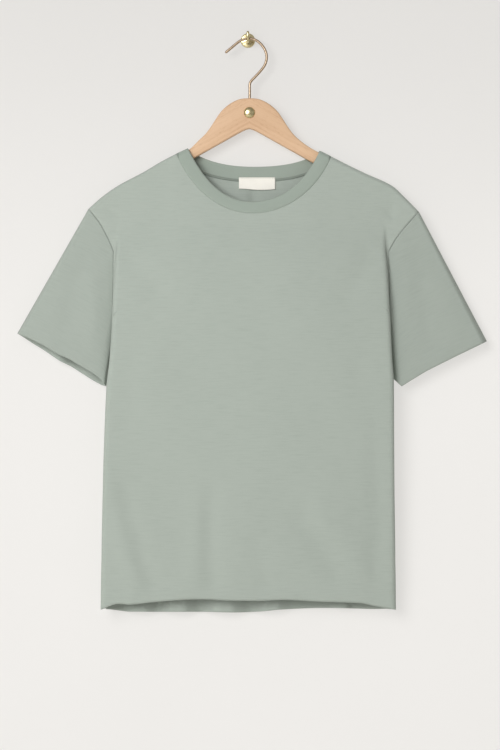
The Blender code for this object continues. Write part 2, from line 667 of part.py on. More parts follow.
def build_hanger(collection, looks):
    data = bpy.data.curves.new("hanger_wood", "CURVE")
    data.dimensions = "2D"
    data.fill_mode = "BOTH"
    data.extrude = (HANGER_THICK / 2.0 - HANGER_EDGE) * MM
    data.bevel_depth = HANGER_EDGE * MM
    data.bevel_resolution = 1
    data.offset = -HANGER_EDGE * MM
    outline = hanger_outline()
    spline = data.splines.new("POLY")
    spline.points.add(len(outline) - 1)
    for target, (x, z) in zip(spline.points, outline):
        target.co = (x * MM, z * MM, 0.0, 1.0)
    spline.use_cyclic_u = True
    made = add(collection, "hanger_wood", data, looks["wood"])
    made.rotation_euler = (math.radians(90.0), 0.0, 0.0)
    made.location = (0.0, RIDGE_Y * MM, 0.0)
    route = [(x, RIDGE_Y, z) for x, z in WIRE_ROUTE]
    wire_object(collection, "hanger_hook", rounded_route(route, 2), WIRE_RADIUS, looks["brass"])
    dome = [(STUD_RADIUS * math.sin(a), STUD_HEIGHT * math.cos(a)) for a in np.radians(STUD_ANGLES)]
    stud = turned_object(collection, "hanger_stud", dome + [(0.0, 0.0)], looks["brass"], STUD_STEPS)
    front = RIDGE_Y - HANGER_THICK / 2.0 - SEAM_GAP
    stud.location = (HANGER_MIDDLE_X * MM, front * MM, STUD_Z * MM)


def build_wall_hook(collection, looks):
    profile = [(0.0, ROSETTE_THICK), (ROSETTE_RADIUS - ROSETTE_EDGE, ROSETTE_THICK),
               (ROSETTE_RADIUS, ROSETTE_THICK - ROSETTE_EDGE), (ROSETTE_RADIUS, 0.0), (0.0, 0.0)]
    turned_object(collection, "wall_rosette", profile, looks["brass"], ROSETTE_STEPS)
    route = [(0.0, y, z) for y, z in PEG_ROUTE]
    wire_object(collection, "wall_peg", rounded_route(route, 2), PEG_RADIUS, looks["brass"])


def main():
    clear_scene()
    collection = new_collection("tshirt_on_hanger")
    looks = {
        "jersey": material("jersey", (0.41, 0.45, 0.40), 0.92),
        "rib": material("rib", (0.38, 0.43, 0.38), 0.92),
        "label": material("label", (0.78, 0.75, 0.68), 0.85),
        "wood": material("beech", (0.74, 0.52, 0.33), 0.5),
        "brass": material("brass", (0.72, 0.50, 0.25), 0.3, 1.0),
    }
    build_cloth(collection, looks)
    build_label(collection, looks)
    build_hanger(collection, looks)
    build_wall_hook(collection, looks)


main()
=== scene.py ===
# %% [markdown]
# # A t-shirt on its hanger
# A relaxed short-sleeved t-shirt of thin slub jersey hangs from a beech hanger, and the hanger from a
# small brass hook on a wall. The solids of the model are plain; this lesson gives them cloth, wood and
# brass. Lengths in the tables are millimetres, and MM turns them into Blender's metres.

# %% Load the frame
import math

import bmesh
import bpy
import numpy as np
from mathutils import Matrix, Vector


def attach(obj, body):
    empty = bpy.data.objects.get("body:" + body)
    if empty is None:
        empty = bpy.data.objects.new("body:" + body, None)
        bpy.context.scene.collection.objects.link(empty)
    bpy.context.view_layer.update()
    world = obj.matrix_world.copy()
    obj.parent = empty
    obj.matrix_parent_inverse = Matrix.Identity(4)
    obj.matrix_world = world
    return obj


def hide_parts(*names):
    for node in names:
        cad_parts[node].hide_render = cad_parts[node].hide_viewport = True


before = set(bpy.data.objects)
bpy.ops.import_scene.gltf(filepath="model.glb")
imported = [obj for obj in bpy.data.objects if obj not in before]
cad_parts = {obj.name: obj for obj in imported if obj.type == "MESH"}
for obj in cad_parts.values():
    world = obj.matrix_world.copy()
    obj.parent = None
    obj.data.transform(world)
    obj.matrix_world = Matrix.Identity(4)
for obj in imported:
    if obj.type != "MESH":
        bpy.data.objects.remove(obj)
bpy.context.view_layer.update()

MM = 0.001

# %% [markdown]
# ## The camera first
# The shirt is seen straight on from about three metres, so its sides hardly converge. The camera looks
# along +Y at the middle of the picture, which lies a little right of the hook and 479 mm below it.

# %% Camera
CAMERA_AWAY = 3000.0
VIEW_MIDDLE = (3.0, -478.7)
VIEW_HEIGHT = 1074.0
SENSOR = 36.0

lens = bpy.data.cameras.new("camera")
lens.sensor_fit = "VERTICAL"
lens.sensor_height = SENSOR
lens.lens = SENSOR * CAMERA_AWAY / VIEW_HEIGHT
camera = bpy.data.objects.new("camera", lens)
camera.location = (VIEW_MIDDLE[0] * MM, -CAMERA_AWAY * MM, VIEW_MIDDLE[1] * MM)
camera.rotation_euler = (math.radians(90.0), 0.0, 0.0)
bpy.context.scene.collection.objects.link(camera)
bpy.context.scene.camera = camera
print("lens", round(lens.lens, 1), "mm")

# %% [markdown]
# ## The shirt's measures
# Each table has named columns and one row for each section. They are the measures the solids were made
# from: the body's sections down its length, the shoulder's top line, the armhole seams, the hems, the
# soft waves of the back and the curves of the neck. A curve drawn smoothly through a few measured rows
# is easier to read, and to change, than a long list of points.

# %% Measures of the shirt
# Cloth
CLOTH = 1.2
SEAM_GAP = 0.3
RIDGE_Y = -18.0
RIDGE_GAP = 0.2
NECK_CORNER_GAP = 0.6
NECK_CORNER_SHARE = 0.25
SHOULDER_DROP = 5.0
SLEEVE_FRONT_Y = -28.0
SIDE_SEAM_Y = -18.0

# Roll of the body's side edge, over the sleeve and down to the hem
ROLL_OUT = 6.0
ROLL_IN = 3.0
ROLL_LEAN = math.radians(114.0)
BACK_ROLL = 8.0
UNDERARM_ROUND = 25.0
SEAM_PAST_ROLL = 1.0
UNDERARM_Z = -412.0
UNDERARM_ROW_GAP = 2.4
NO_STEP = 0.05
SMALLEST_SINE = 0.2

LEFT, RIGHT = 0, 1
SIGN = (-1.0, 1.0)

# Body sections, from the level where the side roll begins to the hem
BODY_COLUMNS = ("height", "left_edge", "right_edge", "step", "belly", "back")
BODY = (
    (-150.0, -184.0, 194.0, 0.0, 0.0, -9.0),
    (-205.0, -184.0, 194.0, 0.0, 3.0, -9.0),
    (-262.0, -184.6, 194.3, 0.0, 9.0, -8.5),
    (-280.0, -185.4, 194.6, 2.2, 10.5, -8.0),
    (-300.0, -186.4, 195.3, 7.2, 10.0, -8.0),
    (-330.0, -188.0, 197.3, 13.0, 8.0, -8.0),
    (-364.0, -190.2, 199.0, 16.0, 6.0, -8.0),
    (-409.0, -191.8, 201.3, 18.0, 4.0, -8.0),
    (-454.0, -194.7, 203.4, 18.5, 3.0, -7.5),
    (-494.0, -199.1, 205.8, 19.0, 2.0, -7.0),
    (-585.0, -202.9, 206.2, 19.0, 1.5, -6.5),
    (-703.0, -205.9, 207.6, 16.5, 1.0, -6.5),
    (-820.0, -208.3, 209.4, 11.0, 1.0, -7.0),
)

# Top line of shoulder and sleeve, from the neck to the sleeve's tip
RIDGE_COLUMNS = ("left_x", "left_z", "right_x", "right_z")
RIDGE = (
    (-60.0, -143.0, 60.0, -141.0),
    (-85.4, -156.6, 102.1, -160.0),
    (-101.3, -164.1, 117.9, -168.0),
    (-123.1, -175.5, 138.2, -178.4),
    (-147.9, -190.2, 166.7, -192.2),
    (-184.9, -210.0, 205.1, -210.2),
    (-207.7, -226.0, 222.2, -225.8),
    (-226.2, -242.4, 242.8, -246.7),
)

# Armhole seam of the front and the back at each height, from the ridge to the underarm
ARMHOLE_COLUMNS = ("below_ridge", "left_front", "right_front", "left_back", "right_back")
ARMHOLE = (
    (0.0, -226.2, 242.8, -226.2, 242.8),
    (19.0, -211.3, 226.0, -213.5, 229.0),
    (37.0, -201.1, 211.5, -204.5, 217.5),
    (54.0, -193.3, 201.5, -198.0, 209.5),
    (62.0, -190.5, 197.5, -195.5, 206.5),
    (100.0, -187.0, 196.0, -189.5, 199.5),
    (140.0, -187.0, 196.0, -187.2, 196.5),
    (175.0, -187.0, 196.0, -187.0, 196.0),
)

# Hem of the body: height of the front and the back edge across the shirt
HEM_COLUMNS = ("across", "front", "back")
HEM = (
    (-208.0, -810.5, -812.0),
    (-181.0, -801.8, -815.5),
    (-169.0, -803.0, -816.8),
    (-131.0, -799.2, -817.0),
    (-67.0, -795.4, -817.0),
    (-21.0, -797.3, -818.0),
    (18.0, -797.6, -816.6),
    (48.0, -796.3, -813.8),
    (108.0, -799.0, -811.5),
    (159.0, -800.8, -812.4),
    (179.0, -805.0, -813.0),
    (209.0, -810.5, -812.0),
)

# Soft waves of the back's lower edge
WAVE_COLUMNS = ("across", "y")
WAVES = (
    (-196.0, -7.0), (-183.0, -7.0), (-161.0, -19.0), (-149.0, -20.0), (-128.0, -8.0), (-107.0, -20.0),
    (-95.0, -20.0), (-68.0, -6.0), (-40.0, -21.0), (-26.0, -21.0), (3.0, -7.0), (28.0, -20.0), (40.0, -20.0),
    (62.0, -10.0), (88.0, -6.0), (114.0, -8.0), (130.0, -18.0), (139.0, -19.0), (148.0, -8.0),
    (167.0, -6.5), (196.0, -7.0),
)
WAVE_TOP = -640.0
WAVE_FOOT = -812.0
WAVE_POWER = 1.5
WAVE_LIFT = 0.11

# Neck edges as curves from the shoulder ridge to the middle of the front or back
NECK_COLUMNS = ("ridge_x", "ridge_z", "start_angle", "start_handle", "middle_x", "middle_z", "middle_handle")
NECK = {
    ("inner", "front", LEFT): (-85.4, -156.6, 63.0, 36.0, 6.7, -233.3, 50.0),
    ("inner", "front", RIGHT): (102.1, -160.0, 68.0, 32.0, 6.7, -233.3, 52.0),
    ("outer", "front", LEFT): (-101.3, -164.1, 68.0, 43.0, 6.7, -249.6, 55.0),
    ("outer", "front", RIGHT): (117.9, -168.0, 70.0, 40.0, 6.7, -249.6, 57.0),
    ("inner", "back", LEFT): (-85.4, -156.6, 36.0, 25.0, 8.3, -181.5, 45.0),
    ("inner", "back", RIGHT): (102.1, -160.0, 36.0, 25.0, 8.3, -181.5, 45.0),
    ("outer", "back", LEFT): (-101.3, -164.1, 50.0, 32.0, 8.3, -200.9, 50.0),
    ("outer", "back", RIGHT): (117.9, -168.0, 50.0, 32.0, 8.3, -200.9, 50.0),
}

# Sleeve hem from the outer tip to the inner corner
CUFF_COLUMNS = ("across", "front", "back")
CUFF = (
    (
        (-327.8, -419.9, -419.9), (-309.0, -427.2, -432.4), (-290.0, -437.0, -444.0),
        (-269.0, -449.5, -458.0), (-252.0, -457.0, -466.6), (-236.0, -466.8, -477.0),
        (-220.0, -476.0, -487.0), (-208.0, -485.0, -493.4), (-202.0, -494.5, -494.5),
    ),
    (
        (339.6, -430.9, -430.9), (320.0, -440.3, -438.0), (297.2, -451.3, -448.5),
        (274.0, -462.8, -459.5), (251.9, -474.0, -470.5), (233.0, -485.5, -481.0),
        (218.0, -495.0, -487.5), (208.0, -484.5, -484.5),
    ),
)
CUFF_FRONT_Y = -27.5
CUFF_BACK_Y = -8.5
CUFF_ROUND = 4.5
CUFF_INNER_ROUND = (7.0, 13.0)
SLEEVE_SWELL = 1.6
UNDERARM_SLACK = 3.6
UNDERARM_BOW = (2.0, 1.0)
# Places of the grid lines, from a seam inward, in millimetres or as a share of an edge
ARMHOLE_ROWS = (0.0, 1.2, 3.2, 6.5, 11.0, 18.0, 28.0, 40.0, 55.0, 72.0, 90.0, 108.0, 124.0, 138.0, 149.0,
                157.0, 163.0, 167.0)
BODY_ROWS = 12
FRONT_SIDE_COLUMNS = (0.0, 2.0, 4.5, 7.0, 12.0, 16.0, 19.0, 22.0, 25.0, 28.0, 31.5, 38.0, 55.0, 82.0, 115.0)
BACK_SIDE_COLUMNS = (0.0, 4.0, 8.0, 12.0, 16.0, 24.0, 40.0, 54.0, 68.0, 82.0, 98.0, 115.0)
FRONT_NECK_STATIONS = (0.0, 0.03, 0.08, 0.16, 0.27, 0.40, 0.55, 0.70, 0.85, 1.0)
BACK_NECK_STATIONS = (0.0, 0.02, 0.05, 0.13, 0.25, 0.42, 0.62, 0.82, 1.0)
SLEEVE_ROWS = (0.0, 0.04, 0.10, 0.20, 0.32, 0.46, 0.60, 0.74, 0.87, 1.0)
RIB_ROWS = (0.0, 0.33, 0.67, 1.0)
SIDE_REACH = 0.5

# %% [markdown]
# ## Smooth curves through the tables
# `smooth` draws a curve through a table that never overshoots a row. The other helpers read the shirt's
# shape from it: how the shoulder rounds over, and how the side edge rolls back over the sleeve.

# %% Reading the tables
def smooth(knots, values, at):
    """Smooth curve through a table, flat at its turning points so that it never overshoots."""
    knots = np.asarray(knots, float)
    values = np.asarray(values, float)
    if knots[0] > knots[-1]:
        knots, values = knots[::-1], values[::-1]
    steps = np.diff(knots)
    rates = np.diff(values) / steps
    slopes = np.empty_like(values)
    slopes[0], slopes[-1] = rates[0], rates[-1]
    same = rates[:-1] * rates[1:] > 0.0
    safe = np.where(same, rates[:-1] + rates[1:], 1.0)
    slopes[1:-1] = np.where(same, 2.0 * rates[:-1] * rates[1:] / safe, 0.0)
    at = np.clip(at, knots[0], knots[-1])
    cell = np.clip(np.searchsorted(knots, at) - 1, 0, len(steps) - 1)
    t = (at - knots[cell]) / steps[cell]
    low = (1.0 + 2.0 * t) * (1.0 - t) ** 2 * values[cell] + t * (1.0 - t) ** 2 * steps[cell] * slopes[cell]
    high = t * t * (3.0 - 2.0 * t) * values[cell + 1] + t * t * (t - 1.0) * steps[cell] * slopes[cell + 1]
    return low + high


def read(table, columns, key, name, at):
    """Value of one named column of a table, smoothed between its rows."""
    rows = np.array(table)
    return smooth(rows[:, columns.index(key)], rows[:, columns.index(name)], at)


def body(name, z):
    return read(BODY, BODY_COLUMNS, "height", name, z)


def edge_x(side, z):
    return np.abs(body(("left_edge", "right_edge")[side], z))


def ridge_z(x):
    """Height of the shoulder's top line over a place across the shirt."""
    rows = np.array(RIDGE)
    line = np.concatenate((rows[::-1, :2], rows[:, 2:]))
    return smooth(line[:, 0], line[:, 1], x)


def round_off(depth, radius):
    """Quarter round: 0 at the edge, 1 from the radius inward."""
    share = np.clip(np.asarray(depth, float) / radius, 0.0, 1.0)
    return np.sqrt(1.0 - (1.0 - share) ** 2)


def ridge_share(x, z):
    return round_off(ridge_z(x) - z, SHOULDER_DROP)


def closing(z):
    """How far the armhole has closed toward the underarm: 0 above, 1 at the underarm and below."""
    return 1.0 - round_off(np.asarray(z, float) - UNDERARM_Z, UNDERARM_ROUND)


def front_plane_y(x, z, side):
    """Depth of the front's flat part."""
    step = body("step", z)
    across = np.clip(np.abs(x) / edge_x(side, z), 0.0, 1.0)
    full = SLEEVE_FRONT_Y - RIDGE_Y + RIDGE_GAP - step - body("belly", z) * (1.0 - across ** 2)
    return RIDGE_Y - RIDGE_GAP + full * ridge_share(x, z)


def roll(side, z):
    """Sizes of the side roll at a height: start, first bend, wall and second bend."""
    flat = front_plane_y(SIGN[side] * edge_x(side, z), z, side)
    target = SLEEVE_FRONT_Y + (SIDE_SEAM_Y - SLEEVE_FRONT_Y) * closing(z)
    depth = np.maximum(target - flat, 0.0)
    depth = np.where(body("step", z) < NO_STEP, 0.0, depth)
    reach = (ROLL_OUT + ROLL_IN) * (1.0 - math.cos(ROLL_LEAN))
    shallow = np.arccos(np.clip(1.0 - depth / (ROLL_OUT + ROLL_IN), -1.0, 1.0))
    first = np.where(depth < reach, shallow, ROLL_LEAN)
    second = first * (1.0 - closing(z))
    bends = ROLL_OUT * (1.0 - np.cos(first)) + ROLL_IN * (np.cos(first - second) - np.cos(first))
    wall = np.maximum(depth - bends, 0.0) / np.maximum(np.sin(first), SMALLEST_SINE)
    start = edge_x(side, z) - ROLL_OUT * np.sin(np.minimum(first, math.pi / 2.0))
    return start, first, wall, second


def roll_point(sizes, past):
    """Outward and backward distance of a point lying past the start of a side roll."""
    _, first, wall, second = sizes
    one = np.clip(past / ROLL_OUT, 0.0, first)
    out = ROLL_OUT * np.sin(one)
    back = ROLL_OUT * (1.0 - np.cos(one))
    straight = np.clip(past - ROLL_OUT * first, 0.0, wall)
    out = out + straight * np.cos(first)
    back = back + straight * np.sin(first)
    two = np.clip((past - ROLL_OUT * first - wall) / ROLL_IN, 0.0, second)
    out = out + ROLL_IN * (np.sin(first) - np.sin(first - two))
    back = back + ROLL_IN * (np.cos(first - two) - np.cos(first))
    rest = np.maximum(past - ROLL_OUT * first - wall - ROLL_IN * second, 0.0)
    return out + rest * np.cos(first - second), back + rest * np.sin(first - second)

# %% [markdown]
# ## Where the panels end
# The front is worked out as if it were flat, then rolled: past the side roll a point goes round a soft
# bend, along a short wall and out again to the sleeve. The back turns forward the same way to meet it
# at the side seam.

# %% Side rolls and seams
def shoulder_tip(side):
    """Height where the armhole seam meets the shoulder's top line."""
    return RIDGE[-1][RIDGE_COLUMNS.index(("left_z", "right_z")[side])]


def armhole_x(side, face, z):
    """Place of the visible armhole seam across the shirt."""
    name = ("left", "right")[side] + "_" + face
    return np.abs(read(ARMHOLE, ARMHOLE_COLUMNS, "below_ridge", name, shoulder_tip(side) - z))


def front_seam(side, z):
    """Flat distance of the front's side edge from the middle line x = 0."""
    sizes = roll(side, z)
    start, first, wall, second = sizes
    turned = ROLL_OUT * first + wall + ROLL_IN * second
    out, _ = roll_point(sizes, turned)
    visible = armhole_x(side, "front", z) - start - out
    extra = np.maximum(visible, SEAM_PAST_ROLL) * (1.0 - closing(z))
    return start + turned + extra


def front_surface(side, flat, z):
    """Point of the front for a flat distance from the middle and a height."""
    sign = SIGN[side]
    sizes = roll(side, z)
    start = sizes[0]
    out, back = roll_point(sizes, np.maximum(flat - start, 0.0))
    x = sign * (np.minimum(flat, start) + out)
    y = front_plane_y(x, z, side) + back
    return np.stack((x, y, z), axis=-1)


def back_turn(side, z):
    """Flat end, bend and wall of the back's side edge."""
    shut = closing(z)
    angle = math.pi - ROLL_LEAN
    depth = (body("back", z) - SIDE_SEAM_Y) * shut
    bend = np.arccos(np.clip(1.0 - depth / BACK_ROLL, math.cos(angle), 1.0))
    wall = np.maximum(depth - BACK_ROLL * (1.0 - np.cos(bend)), 0.0) / math.sin(angle)
    sizes = roll(side, z)
    out, _ = roll_point(sizes, front_seam(side, z) - sizes[0])
    seam = sizes[0] + out
    seam = np.where(z > UNDERARM_Z, armhole_x(side, "back", z), seam)
    edge = seam - BACK_ROLL * np.sin(bend) - wall * np.cos(bend)
    return edge, bend, wall


def back_seam(side, z):
    edge, bend, wall = back_turn(side, z)
    return edge + BACK_ROLL * bend + wall


def back_surface(side, flat, z):
    """Point of the back for a flat distance from the middle and a height."""
    sign = SIGN[side]
    edge, bend, wall = back_turn(side, z)
    past = np.maximum(flat - edge, 0.0)
    turned = np.clip(past / BACK_ROLL, 0.0, bend)
    straight = np.maximum(past - BACK_ROLL * bend, 0.0)
    out = BACK_ROLL * np.sin(turned) + straight * np.cos(bend)
    forward = BACK_ROLL * (1.0 - np.cos(turned)) + straight * np.sin(bend)
    x = sign * (np.minimum(flat, edge) + out)
    fall = np.clip((WAVE_TOP - z) / (WAVE_TOP - WAVE_FOOT), 0.0, 1.0) ** WAVE_POWER
    plane = body("back", z) * (1.0 - fall) + read(WAVES, WAVE_COLUMNS, "across", "y", x) * fall
    y = RIDGE_Y + RIDGE_GAP + (plane - RIDGE_Y - RIDGE_GAP) * ridge_share(x, z)
    return np.stack((x, y - forward, z), axis=-1)

# %% [markdown]
# ## A fine grid
# Cloth this smooth shows every facet, so the coarse rows and columns of the solids are divided until a
# cell is about three millimetres wide. Both sides of a seam use the same stations, so they stay
# parallel.

# %% Fine rows and columns
CELL = 3.2


def divided(stops, most):
    """Stops with even steps put between them wherever two lie further apart than most."""
    made = [stops[0]]
    for low, high in zip(stops[:-1], stops[1:]):
        count = max(1, math.ceil(abs(high - low) / most))
        made.extend(low + (high - low) * step / count for step in range(1, count + 1))
    return tuple(made)


ARMHOLE_ROWS = divided(ARMHOLE_ROWS, CELL)
BODY_ROWS = 1 + round(400.0 / CELL)
FRONT_SIDE_COLUMNS = divided(FRONT_SIDE_COLUMNS, CELL)
BACK_SIDE_COLUMNS = divided(BACK_SIDE_COLUMNS, CELL)
FRONT_NECK_STATIONS = divided(FRONT_NECK_STATIONS, 0.026)
BACK_NECK_STATIONS = divided(BACK_NECK_STATIONS, 0.03)
SLEEVE_ROWS = divided(SLEEVE_ROWS, 0.017)
RIB_ROWS = divided(RIB_ROWS, 0.12)
print("front", len(ARMHOLE_ROWS) + BODY_ROWS, "rows")

# %% [markdown]
# ## Neck curves and panels
# The neck's edges are four-handled curves, as a pattern cutter draws them. A panel is the surface
# between its four edges, so the shoulder, neck, armhole, side seam and hem are exact.

# %% Neck curves and panels
def neck_curve(end, face, side, stations):
    """Points (x, z) of a neck edge from the ridge to the middle."""
    row = dict(zip(NECK_COLUMNS, NECK[(end, face, side)]))
    angle = math.radians(row["start_angle"])
    sign = SIGN[side]
    across = row["ridge_x"] - sign * row["start_handle"] * math.cos(angle)
    corners = np.array((
        (row["ridge_x"], row["ridge_z"]),
        (across, row["ridge_z"] - row["start_handle"] * math.sin(angle)),
        (row["middle_x"] + sign * row["middle_handle"], row["middle_z"]),
        (row["middle_x"], row["middle_z"]),
    ))
    t = np.asarray(stations, float)[:, None]
    weights = ((1 - t) ** 3, 3 * t * (1 - t) ** 2, 3 * t * t * (1 - t), t ** 3)
    return sum(weight * corner for weight, corner in zip(weights, corners))


def moved_out(points, distance, side):
    """A neck edge moved down and outward by a distance at each point."""
    along = np.gradient(points, axis=0)
    along /= np.linalg.norm(along, axis=1)[:, None]
    normal = np.stack((along[:, 1], -along[:, 0]), axis=1) * -SIGN[side]
    normal *= np.where(normal[:, 1:] > 0.0, -1.0, 1.0)
    return points + normal * distance[:, None]


def panel_rows(side, face):
    """Heights of the grid rows along the side edge, gap at the shoulder included."""
    top = shoulder_tip(side)
    armhole = top - np.array(ARMHOLE_ROWS) * (top - UNDERARM_Z) / (ARMHOLE_ROWS[-1] + UNDERARM_ROW_GAP)
    rows = np.array(HEM)
    hem = rows[0 if side == LEFT else -1, HEM_COLUMNS.index(face)]
    lower = np.linspace(UNDERARM_Z, hem, BODY_ROWS)
    return np.concatenate((armhole, lower))


def half_panel(side, face):
    """Grid of flat (distance from x = 0, height) points for one half of the front or back."""
    columns, stations, seam = {
        "front": (FRONT_SIDE_COLUMNS, FRONT_NECK_STATIONS, front_seam),
        "back": (BACK_SIDE_COLUMNS, BACK_NECK_STATIONS, back_seam),
    }[face]
    sign = SIGN[side]
    heights = panel_rows(side, face)
    side_edge = np.stack((sign * (seam(side, heights) - SEAM_GAP / 2.0), heights), axis=1)
    side_edge[0, 1] = ridge_z(side_edge[0, 0])
    corner = 1.0 - np.clip(np.array(stations) / NECK_CORNER_SHARE, 0.0, 1.0)
    gap = SEAM_GAP + (NECK_CORNER_GAP - SEAM_GAP) * corner
    neck = moved_out(neck_curve("outer", face, side, stations), gap, side)
    neck[0, 1] = ridge_z(neck[0, 0])
    share = np.array(columns) / columns[-1]
    shoulder_x = side_edge[0, 0] + (neck[0, 0] - side_edge[0, 0]) * share
    shoulder = np.stack((shoulder_x, ridge_z(shoulder_x)), axis=1)
    top = np.concatenate((shoulder[:-1], neck))
    middle_x = neck[-1, 0]
    half = abs(side_edge[-1, 0] - middle_x)
    inward = np.concatenate((np.array(columns[:-1]), np.linspace(columns[-1], half, len(stations))))
    hem_x = side_edge[-1, 0] - sign * inward
    hem_z = read(HEM, HEM_COLUMNS, "across", face, hem_x)
    if face == "back":
        forward = body("back", WAVE_FOOT) - read(WAVES, WAVE_COLUMNS, "across", "y", hem_x)
        hem_z += WAVE_LIFT * forward
    bottom = np.stack((hem_x, hem_z), axis=1)
    share = ((heights - heights[0]) / (heights[-1] - heights[0]))[:, None, None]
    rails = (1.0 - share) * top[None] + share * bottom[None]
    reach = np.clip(inward / inward[-1] / SIDE_REACH, 0.0, 1.0)
    keep = 1.0 - reach * reach * (3.0 - 2.0 * reach)
    return rails + (side_edge[:, None] - rails[:, :1]) * keep[None, :, None]


def panel(face):
    """Whole front or back as a grid of points, left edge to right edge."""
    surface = {"front": front_surface, "back": back_surface}[face]
    halves = []
    for side in (LEFT, RIGHT):
        flat = half_panel(side, face)
        x, z = flat[..., 0], flat[..., 1]
        own = surface(side, np.abs(x), z)
        wrong = x * SIGN[side] < 0.0
        other = surface(1 - side, np.abs(x), z)
        halves.append(np.where(wrong[..., None], other, own))
    return np.concatenate((halves[LEFT], halves[RIGHT][:, -2::-1]), axis=1)

# %% [markdown]
# ## Sleeves and neck band
# A sleeve is a flattened tube from the armhole to its hem. The neck band is a ring that lies over the
# hanger at both shoulders.

# %% Sleeves and neck band
def armhole_loop(side, face):
    """Points of the sleeve's edge along the front or back armhole, from the ridge to the underarm."""
    heights = panel_rows(side, face)[:len(ARMHOLE_ROWS) + 1]
    surface, seam = {"front": (front_surface, front_seam), "back": (back_surface, back_seam)}[face]
    points = surface(side, seam(side, heights) + SEAM_GAP / 2.0, heights)
    points[0, 1] = RIDGE_Y
    points[0, 2] = ridge_z(points[0, 0])
    points[:, 0] += SIGN[side] * UNDERARM_SLACK * closing(heights)
    points[-1, 1] = SIDE_SEAM_Y
    return points


def cuff_loop(side, face, shares):
    """Points of the sleeve's hem from the outer tip to the inner corner."""
    rows = np.array(CUFF[side])
    line = rows[:, (0, CUFF_COLUMNS.index(face))]
    lengths = np.concatenate(((0.0,), np.cumsum(np.linalg.norm(np.diff(line, axis=0), axis=1))))
    along = shares * lengths[-1]
    x = np.interp(along, lengths, line[:, 0])
    z = np.interp(along, lengths, line[:, 1])
    flat = {"front": CUFF_FRONT_Y, "back": CUFF_BACK_Y}[face]
    rounding = round_off(along, CUFF_ROUND) * round_off(lengths[-1] - along, CUFF_INNER_ROUND[side])
    return np.stack((x, RIDGE_Y + (flat - RIDGE_Y) * rounding, z), axis=1)


def sleeve(side):
    """Closed tube of points: a row around the arm for each place along the sleeve."""
    rings = []
    swells = []
    for face, toward in (("front", -1.0), ("back", 1.0)):
        start = armhole_loop(side, face)
        steps = np.linalg.norm(np.diff(start, axis=0), axis=1)
        shares = np.concatenate(((0.0,), np.cumsum(steps))) / steps.sum()
        end = cuff_loop(side, face, shares)
        swells.append(toward * SLEEVE_SWELL * np.sin(math.pi * shares))
        rings.append((start, end))
    start = np.concatenate((rings[0][0], rings[1][0][-2:0:-1]))
    end = np.concatenate((rings[0][1], rings[1][1][-2:0:-1]))
    swell = np.concatenate((swells[0], swells[1][-2:0:-1]))
    t = np.array(SLEEVE_ROWS)[:, None, None]
    grid = start[None] * (1.0 - t) + end[None] * t
    arch = np.sin(math.pi * t[..., 0])
    grid[..., 1] += swell[None] * arch
    grid[..., 0] += SIGN[side] * UNDERARM_BOW[side] * closing(start[:, 2])[None] * arch
    return grid

def neck_rib():
    """Closed band of points from the neck's inner edge to the neck seam."""
    order = (("front", LEFT, FRONT_NECK_STATIONS), ("front", RIGHT, FRONT_NECK_STATIONS[::-1]),
             ("back", RIGHT, BACK_NECK_STATIONS), ("back", LEFT, BACK_NECK_STATIONS[::-1]))
    share = np.array(RIB_ROWS)[:, None, None]
    pieces = []
    for face, side, stations in order:
        inner = neck_curve("inner", face, side, stations)
        outer = neck_curve("outer", face, side, stations)
        flat = inner[None] * (1.0 - share) + outer[None] * share
        x, z = flat[..., 0], flat[..., 1]
        on_ridge = np.array(stations) == 0.0
        z = np.where(on_ridge[None], ridge_z(x), z)
        y = front_plane_y(x, z, side)
        if face == "back":
            y = RIDGE_Y + (body("back", z) - RIDGE_Y) * ridge_share(x, z)
        y = np.where(on_ridge[None], RIDGE_Y, y)
        pieces.append(np.stack((x, y, z), axis=-1)[:, :-1])
    return np.concatenate(pieces, axis=1)

# %% [markdown]
# ## Creases
# The cloth hangs almost flat, so what gives it away is a handful of soft creases. Each is a short line
# with a width and a depth: a trough where the depth is positive, a ridge where it is negative. They fade
# out toward their ends. The hidden back gets its own, of the same kind.

